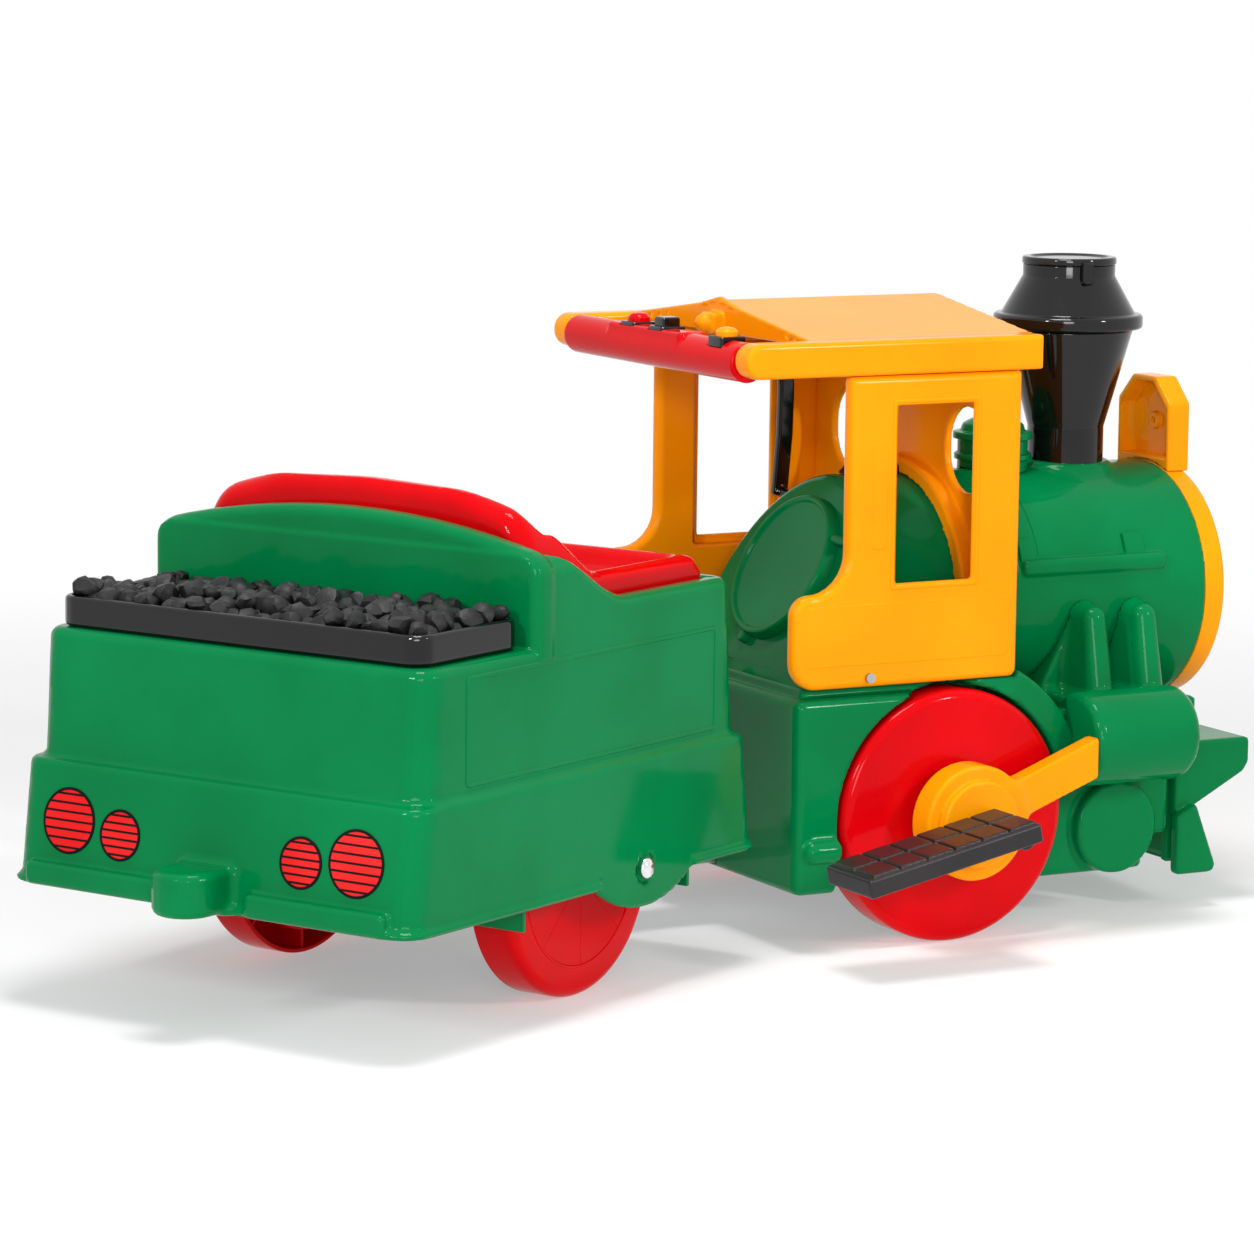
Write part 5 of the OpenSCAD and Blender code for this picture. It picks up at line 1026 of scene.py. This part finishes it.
def fin(x):
    """A leaning pipe whose flat sides run on inwards to the boiler."""
    pipe = rod((x,) + PIPE_FOOT, (x,) + PIPE_HEAD, 15, 13)
    lean = (PIPE_HEAD[0] - PIPE_FOOT[0]) / (PIPE_HEAD[1] - PIPE_FOOT[1])

    def depth(p):
        line = PIPE_FOOT[0] + (np.clip(p[2], PIPE_FOOT[1], PIPE_HEAD[1]) - PIPE_FOOT[1]) * lean
        inward = PIPE_DRAFT * np.maximum(p[1] - line, 0)
        return pipe.depth(np.stack([p[0], np.minimum(p[1], line), p[2]])) - inward
    low, high = pipe.low - (12, 0, 0), pipe.high + (12, 0, 10)
    high[1] = -50
    return Form(depth, low, high).keep(block(low[0], high[0], -FAR, high[1], 0, FAR))


def steam_chest():
    chest = turned("x", eased([(0, CHEST_X0, 0), (CHEST_R, CHEST_X0, 8), (CHEST_R, CHEST_X1, 14),
                               (0, CHEST_X1, 0)], 0), CHEST)
    chest = chest.join(block(142, 246, -190, -FRAME_HALF - SEAT_GAP, 150, 214, 6), 6)
    chest = chest.join(block(142, 252, -190, -95, 190, 211, 5), 4)
    web = eased([(176, 292, 6), (160, 250, 40), (142, 216, 6), (142, 202, 0), (200, 202, 0),
                 (200, 292, 6)], 0)
    chest = chest.join(plate("y", web, -114, -60, 4), 8)
    for x in PIPE_XS:
        chest = chest.join(fin(x), 6)
    chest = chest.cut(bar("x", BOILER_R + SEAT_GAP, 0, FAR, (0, BOILER_Z)))
    chest = chest.cut(block(0, FAR, -FRAME_HALF - SEAT_GAP, FRAME_HALF, 0, FRAME_TOP + SEAT_GAP))
    return chest.cut(block(0, 141, -172, -140, 0, 230))


cast("steam_chest_right", steam_chest(), 2.6, *ON_LOCO, GREEN, ["steam_cylinder_right"])
cast("steam_chest_left", steam_chest().flipped(), 2.6, *ON_LOCO, GREEN, ["steam_cylinder_left"])

# Cab

CAB_HALF, CAB_IN, CAB_TOP = 189, 173, 522
CAB_X0, CAB_X1, PILLAR_X, SILL = -170, 67, -114, 327
WINDOW = (-65, 16, 334, 495)
SPECTACLE_Y, SPECTACLE_Z, SPECTACLE_R, SPECTACLE_RISE = -104, 441, 36, 4


def round_window(by, r):
    """The side window's outline, larger by a distance all round."""
    x0, x1, z0, z1 = WINDOW
    return box_outline(x0 - by, x1 + by, z0 - by, z1 + by, r)


def cab_side():
    outline = eased([(CAB_X1, DECK, 8), (CAB_X1, CAB_TOP, 0), (PILLAR_X, CAB_TOP, 0), (PILLAR_X, SILL, 36),
                     (CAB_X0, SILL, 19), (CAB_X0, DECK, 26)], 0, 8)
    wall = plate("y", outline, -CAB_HALF, -CAB_IN, 6.5)
    wall = wall.cut(plate("y", round_window(8, 4), -CAB_HALF + 6, 0))
    return wall.cut(plate("y", round_window(0, 2), -FAR, 0), 1.5)


for side, y, form in (("right", -1, cab_side()), ("left", 1, cab_side().flipped())):
    cast("cab_side_" + side, form, 3, *ON_LOCO, YELLOW, ["cab_wall_" + side])
    near = y * (CAB_HALF - 1.5)
    relief = Bench()
    relief.raised("y", round_window(5.5, 2.5), near, y * (CAB_HALF + 1), 0.8, round_window(2, 2))
    relief.raised("y", box_outline(-91, -75, 366, 462, 5), near, y * (CAB_HALF + 0.6), 0.6)
    relief.raised("y", box_outline(CAB_X0 + 12, CAB_X1 - 11, DECK + 21, SILL - 10, 7), near,
                  y * (CAB_HALF + 0.5), 0.5)
    relief.done("cab_relief_" + side, *ON_LOCO, YELLOW)


def cab_bulkhead():
    hole = BOILER_R + SEAT_GAP
    wall = block(CAB_X1 - 8, CAB_X1, -CAB_IN + SEAT_GAP, CAB_IN - SEAT_GAP, DECK, CAB_TOP, 2)
    flange = bar("x", 130, 44, 62, (0, BOILER_Z), 4).keep(block(0, FAR, -FAR, FAR, DECK, FAR))
    wall = wall.join(flange, 3).cut(bar("x", hole, 0, FAR, (0, BOILER_Z)))
    wall = wall.cut(block(0, FAR, -hole, hole, 0, BOILER_Z))

    def oval(p):
        rise = np.maximum(np.abs(p[2] - SPECTACLE_Z) - SPECTACLE_RISE, 0)
        return np.hypot(p[1] - SPECTACLE_Y, rise) - SPECTACLE_R
    return wall.cut(Form(oval, wall.low, wall.high).both_sides(), 2.5)


cast("cab_bulkhead", cab_bulkhead(), 3.2, *ON_LOCO, YELLOW, ["cab_front"])

RAIL_TOP, RAIL_IN, ROOF_LOW = 554, 163, CAB_TOP + SEAT_GAP
ROOF_X0, ROOF_X1, ROOF_RIDGE, ROOF_EAVES = -147, 89, 578, 548


def cab_roof():
    rail = eased([(-221, ROOF_LOW, 15), (ROOF_X1, ROOF_LOW, 2), (ROOF_X1, RAIL_TOP, 2),
                  (-221, RAIL_TOP, 15)], 0, 8)
    slopes = [(-168, ROOF_EAVES), (0, ROOF_RIDGE - 6), (168, ROOF_EAVES), (168, RAIL_TOP), (0, ROOF_RIDGE),
              (-168, RAIL_TOP)]
    rear = [(-RAIL_IN, ROOF_EAVES), (RAIL_IN, ROOF_EAVES), (0, ROOF_RIDGE - 3)]
    front = [(-RAIL_IN, ROOF_LOW), (RAIL_IN, ROOF_LOW)] + [rear[1], rear[2], rear[0]]
    lip = [(-30, 572), (0, 577), (30, 572), (30, 574), (0, 581), (-30, 574)]
    knob = block(-160, -143, -13, 13, ROOF_EAVES, 567, 4).join(rod((-161, 0, 557), (-156, 0, 557), 9), 3)
    roof = plate("y", rail, -CAB_HALF, -RAIL_IN, 5).both_sides()
    roof = roof.join(plate("x", slopes, ROOF_X0, ROOF_X1, 1.5), 2)
    roof = roof.join(plate("x", front, ROOF_X1 - 4, ROOF_X1, 1)).join(plate("x", rear, ROOF_X0, ROOF_X0 + 5))
    return roof.join(knob, 2).join(plate("x", lip, ROOF_X0, ROOF_X0 + 6, 1), 2)


cast("cab_roof", cab_roof(), 2.6, *ON_LOCO, YELLOW, ["roof"])

# Handlebar

GRIP_X, GRIP_Z, GRIP_R, GRIP_HALF = -205, 535.5, 18, 162.7
BUTTONS = (("red", 45, RED), ("black", -10, BLACK), ("yellow", -122, YELLOW))
BASE_LOW, BASE_HALF, CAP_LOW, BASE_GAP = 547, 13, 552.5, 0.2


def square(y, half, r):
    return box_outline(GRIP_X - half, GRIP_X + half, y - half, y + half, r)


def circle(y, r, count=28):
    """A ring of points that starts at the same corner as a square's outline."""
    angles = [math.pi * ((2 * i + 1) / count - 3 / 4) for i in range(count)]
    return [(GRIP_X + r * math.cos(a), y + r * math.sin(a)) for a in angles]


def grip_sleeve():
    sleeve = bar("y", GRIP_R, -GRIP_HALF, GRIP_HALF, (GRIP_X, GRIP_Z), 2.5)
    sleeve = sleeve.join(block(GRIP_X - 15, GRIP_X + 15, -60, 80, GRIP_Z, GRIP_Z + 19, 4), 3)
    pocket = BASE_HALF + BASE_GAP
    for _, y, _ in BUTTONS:
        sleeve = sleeve.cut(block(GRIP_X - pocket, GRIP_X + pocket, y - pocket, y + pocket, BASE_LOW, FAR), 1)
    return sleeve


cast("grip_sleeve", grip_sleeve(), 2.2, *ON_LOCO, RED, ["grip"])

bases = Bench()
for name, y, _ in BUTTONS:
    bore = square(y, 9.5, 2.5) if name == "black" else circle(y, 10.6)
    bases.raised("z", square(y, BASE_HALF, 3), BASE_LOW + 0.6, 556.5, 1, bore)
bases.done("button_sockets", *ON_LOCO, BLACK, ["button_bases"])

for name, y, material in BUTTONS:
    cap = Bench()
    if name == "black":
        cap.raised("z", square(y, 9, 2), CAP_LOW, 564.8, 1.4)
    else:
        cap.lathe("z", eased([(0, 561, 0), (8.6, 561, 0), (8.6, CAP_LOW, 0), (10.2, CAP_LOW, 0.4),
                              (10.2, 560.5, 2), (7, 563.8, 4), (0, 564.9, 0)], 0), (GRIP_X, y), 48)
    cap.lathe("z", [(0, 550.6), (4, 550.6), (4, 562), (0, 562)], (GRIP_X, y), 24)
    cap.done("button_cap_" + name, LOCO, name + "_button", material, ["button_" + name])

# Wiring on the far cab wall


def loom_band():
    """A flat black band down the wall in a slight bend, a lead to the boiler and a clip on its crest."""
    wide = 8
    path = np.array(eased([(16, 519, 0), (23, 478, 80), (22, 430, 80), (17, 372, 0)], 0, 8))
    outline = [tuple(p + (wide, 0)) for p in path] + [tuple(p - (wide, 0)) for p in path[::-1]]
    band = plate("y", outline, CAB_IN - 9, CAB_IN - 0.4, 2.5)
    lead = rod((18, 166, 374), (32, 92, 362), 4.5)
    clip = plate("y", eased([(-18, 406, 2), (0, 421, 6), (44, 421, 6), (48, 406, 2)], 0), -12, 12, 4)
    clip = clip.cut(bar("x", BOILER_R + 0.4, -FAR, FAR, (0, BOILER_Z)))
    return band.join(lead, 4).join(clip)


cast("loom_band", loom_band(), 1.9, *ON_LOCO, BLACK, ["wiring_loom"])

# Rods and pedals

ARM_SLOPE, PEDAL_SLOPE = 21, 12
AXLE = (0, AXLE_Z)
HUB_R, ARM_HALF, PIN_R = 53, 17.5, 5


def rod_arm():
    hub = bar("y", HUB_R, -234, -204, AXLE, 3.5)
    boss = bar("y", 40, -242, -230, AXLE, 2.5)
    arm = block(0, 190, -231, -211, AXLE_Z - ARM_HALF, AXLE_Z + ARM_HALF, 2.5).leaned(ARM_SLOPE, AXLE)
    arm = arm.keep(block(-60, CHEST_X0, -240, -200, 0, 300), 2)
    pocket = bar("y", HUB_R - 7, -226, 0, AXLE).cut(bar("y", 17, -FAR, 0, AXLE))
    bracket = hub.join(arm, 9).join(boss, 1).cut(pocket)
    return bracket.cut(bar("y", 6, -219, 0, AXLE)).cut(bar("y", PIN_R, -FAR, -210, AXLE))


cast("rod_right", rod_arm(), 2.6, *ON_LOCO, YELLOW, ["rod_bracket_right"])
cast("rod_left", rod_arm().flipped(), 2.6, *ON_LOCO, YELLOW, ["rod_bracket_left"])


def pedal():
    """A block with two rows of raised tiles, hung on the pin at its front end."""
    top, low, tile_rise = 132, 112, 2.6
    slab = block(-168, 13, -323, -246, low, top - tile_rise, 2.5)
    length, width = 27.2, 33
    for column in range(6):
        for row in range(2):
            x, y = -161 + column * (length + 1.6), -319 + row * (width + 3)
            slab = slab.join(block(x, x + length, y, y + width, top - 6, top, 1.6), 1)
    slab = slab.leaned(PEDAL_SLOPE, AXLE).join(bar("y", 10, -316, -262, AXLE, 1.5), 2)
    slab = slab.cut(bar("y", PIN_R + SEAT_GAP, -319, 0, AXLE))
    return slab.cut(bar("y", 11, -262, 0, AXLE), 0.8)


cast("pedal_pad_right", pedal(), 1.7, LOCO, "accelerator_pedal", PEDAL_BLACK, ["pedal_right"])
cast("pedal_pad_left", pedal().flipped(), 1.7, *ON_LOCO, PEDAL_BLACK, ["footrest_left"])
pins = Bench()
for y in (-1, 1):
    pins.lathe("y", [(0, y * 219.1), (PIN_R, y * 219.1), (PIN_R, y * 317), (PIN_R - 1, y * 318),
                     (0, y * 318)], AXLE, 40)
pins.done("pivot_pins", *ON_LOCO, STEEL, ["pedal_pins"])

# Bolt heads of the axle brackets

HEAD_R, HEAD_RISE, HEAD_Y = 9.5, 5.2, 214.6

bolts = Bench()
for y in (-1, 1):
    dome = [(HEAD_R * math.cos(a), y * (HEAD_Y + HEAD_RISE * math.sin(a))) for a in np.linspace(0.05, 1.5, 9)]
    shank = [(0, y * 178), (3.9, y * 178), (3.9, y * 212.4), (HEAD_R, y * 212.4)]
    bolts.lathe("y", shank + dome + [(0, y * (HEAD_Y + HEAD_RISE))], (CAP_X, CAP_Z), 64)
bolts.done("bolt_heads", *ON_TENDER, CHROME, ["bracket_bolts"])

# Inner pieces that keep the frame's own meshes

KEPT = {slot: material for material, slot in reversed(SLOTS.items())}  # the first material named for a slot
WELD, EDGE = 0.00002, 0.0006
slot_of = {part["node"]: part["material_slot"] for part in frame["record"]["subparts"]}
for node, piece in frame["nodes"].items():
    piece.data.materials.clear()
    piece.data.materials.append(KEPT[slot_of[node]])
    weld = piece.modifiers.new("weld", "WELD")
    weld.merge_threshold = WELD
    bevel = piece.modifiers.new("bevel", "BEVEL")
    bevel.width, bevel.segments, bevel.limit_method, bevel.angle_limit = EDGE, 2, "ANGLE", math.radians(40)
    piece.modifiers.new("normals", "WEIGHTED_NORMAL").keep_sharp = True

# Stage, light and camera

SOFT_LIGHT, PLAIN_WHITE = 0.36, 1.0  # the world as it lights, and as it is seen or mirrored
FLOOR_EDGE, FLOOR_FADE, FLOOR_GLOW = 1.75, 1.5, 0.35  # where the floor runs into white, over what width
CAMERA_AT, CAMERA_LOOK = Vector((-2.049, -3.823, 0.930)), Vector((0.4640, 0.8736, -0.1468))
CAMERA_LENS, CAMERA_ROLL = 138.44, math.radians(-0.64)
LAMPS = (("top_softbox", (-0.2, -0.4, 3.2), (0, 0, 0.2), (0.9, 0.9), 56),
         ("left_softbox", (-3.2, -1.6, 1.9), (-0.1, 0, 0.3), (0.28, 0.75), 46),
         ("right_softbox", (2.0, -3.2, 1.9), (0.1, 0, 0.3), (0.28, 0.75), 52),
         ("front_fill", (-1.5, -3.1, 1.0), (0, 0, 0.35), (1.0, 1.0), 36))


def backdrop():
    """A white floor that keeps the shadow near the object and runs into plain white further off."""
    bpy.ops.mesh.primitive_plane_add(size=80, location=(0, 0, 0))
    floor = bpy.context.object
    floor.name = "floor"
    finish = Finish("floor_white", Roughness=0.9, Specular_IOR_Level=0.1)
    finish.paint(Base_Color=finish.mix(finish.noise(0.8), linear(246, 246, 247), linear(250, 250, 250)))
    away = finish.node("ShaderNodeVectorMath", {"operation": "LENGTH"}, {0: finish.spot}, "Value")
    glow = finish.node("ShaderNodeEmission", {}, {"Color": (1, 1, 1, 1), "Strength": PLAIN_WHITE})
    share = away.above(FLOOR_EDGE, FLOOR_FADE) * (1 - FLOOR_GLOW) + FLOOR_GLOW
    lit = Value(finish, finish.shader.outputs[0])
    shown = finish.node("ShaderNodeMixShader", {}, {0: share, 1: lit, 2: glow})
    finish.feed(finish.tree.nodes["Material Output"].inputs["Surface"], shown)
    floor.data.materials.append(finish.material)
    world = bpy.data.worlds.new("studio")
    bpy.context.scene.world = world
    world.use_nodes = True
    sky = Nodes(world.node_tree)
    rays = sky.tree.nodes.new("ShaderNodeLightPath").outputs
    seen = Value(sky, rays["Is Camera Ray"])
    for kind in ("Is Glossy Ray", "Is Transmission Ray"):
        seen = seen.math("MAXIMUM", seen, Value(sky, rays[kind]))
    background = sky.tree.nodes["Background"]
    sky.feed(background.inputs["Color"], (1, 1, 1, 1))
    sky.feed(background.inputs["Strength"], seen * (PLAIN_WHITE - SOFT_LIGHT) + SOFT_LIGHT)


def lamp(name, place, target, size, power):
    light = bpy.data.lights.new(name, "AREA")
    light.shape, light.size, light.size_y = "RECTANGLE", size[0], size[1]
    light.energy = power
    made = bpy.data.objects.new(name, light)
    bpy.context.scene.collection.objects.link(made)
    made.location = place
    made.rotation_mode = "QUATERNION"
    made.rotation_quaternion = (Vector(target) - Vector(place)).to_track_quat("-Z", "Y")


def camera():
    made = bpy.data.objects.new("camera", bpy.data.cameras.new("camera"))
    bpy.context.scene.collection.objects.link(made)
    made.data.sensor_width, made.data.lens = 36, CAMERA_LENS
    made.location = CAMERA_AT
    made.rotation_mode = "QUATERNION"
    roll = Matrix.Rotation(CAMERA_ROLL, 4, CAMERA_LOOK).to_quaternion()
    made.rotation_quaternion = roll @ CAMERA_LOOK.to_track_quat("-Z", "Y")
    bpy.context.scene.camera = made


backdrop()
for each in LAMPS:
    lamp(*each)
camera()
bpy.context.scene.view_settings.view_transform = "Standard"
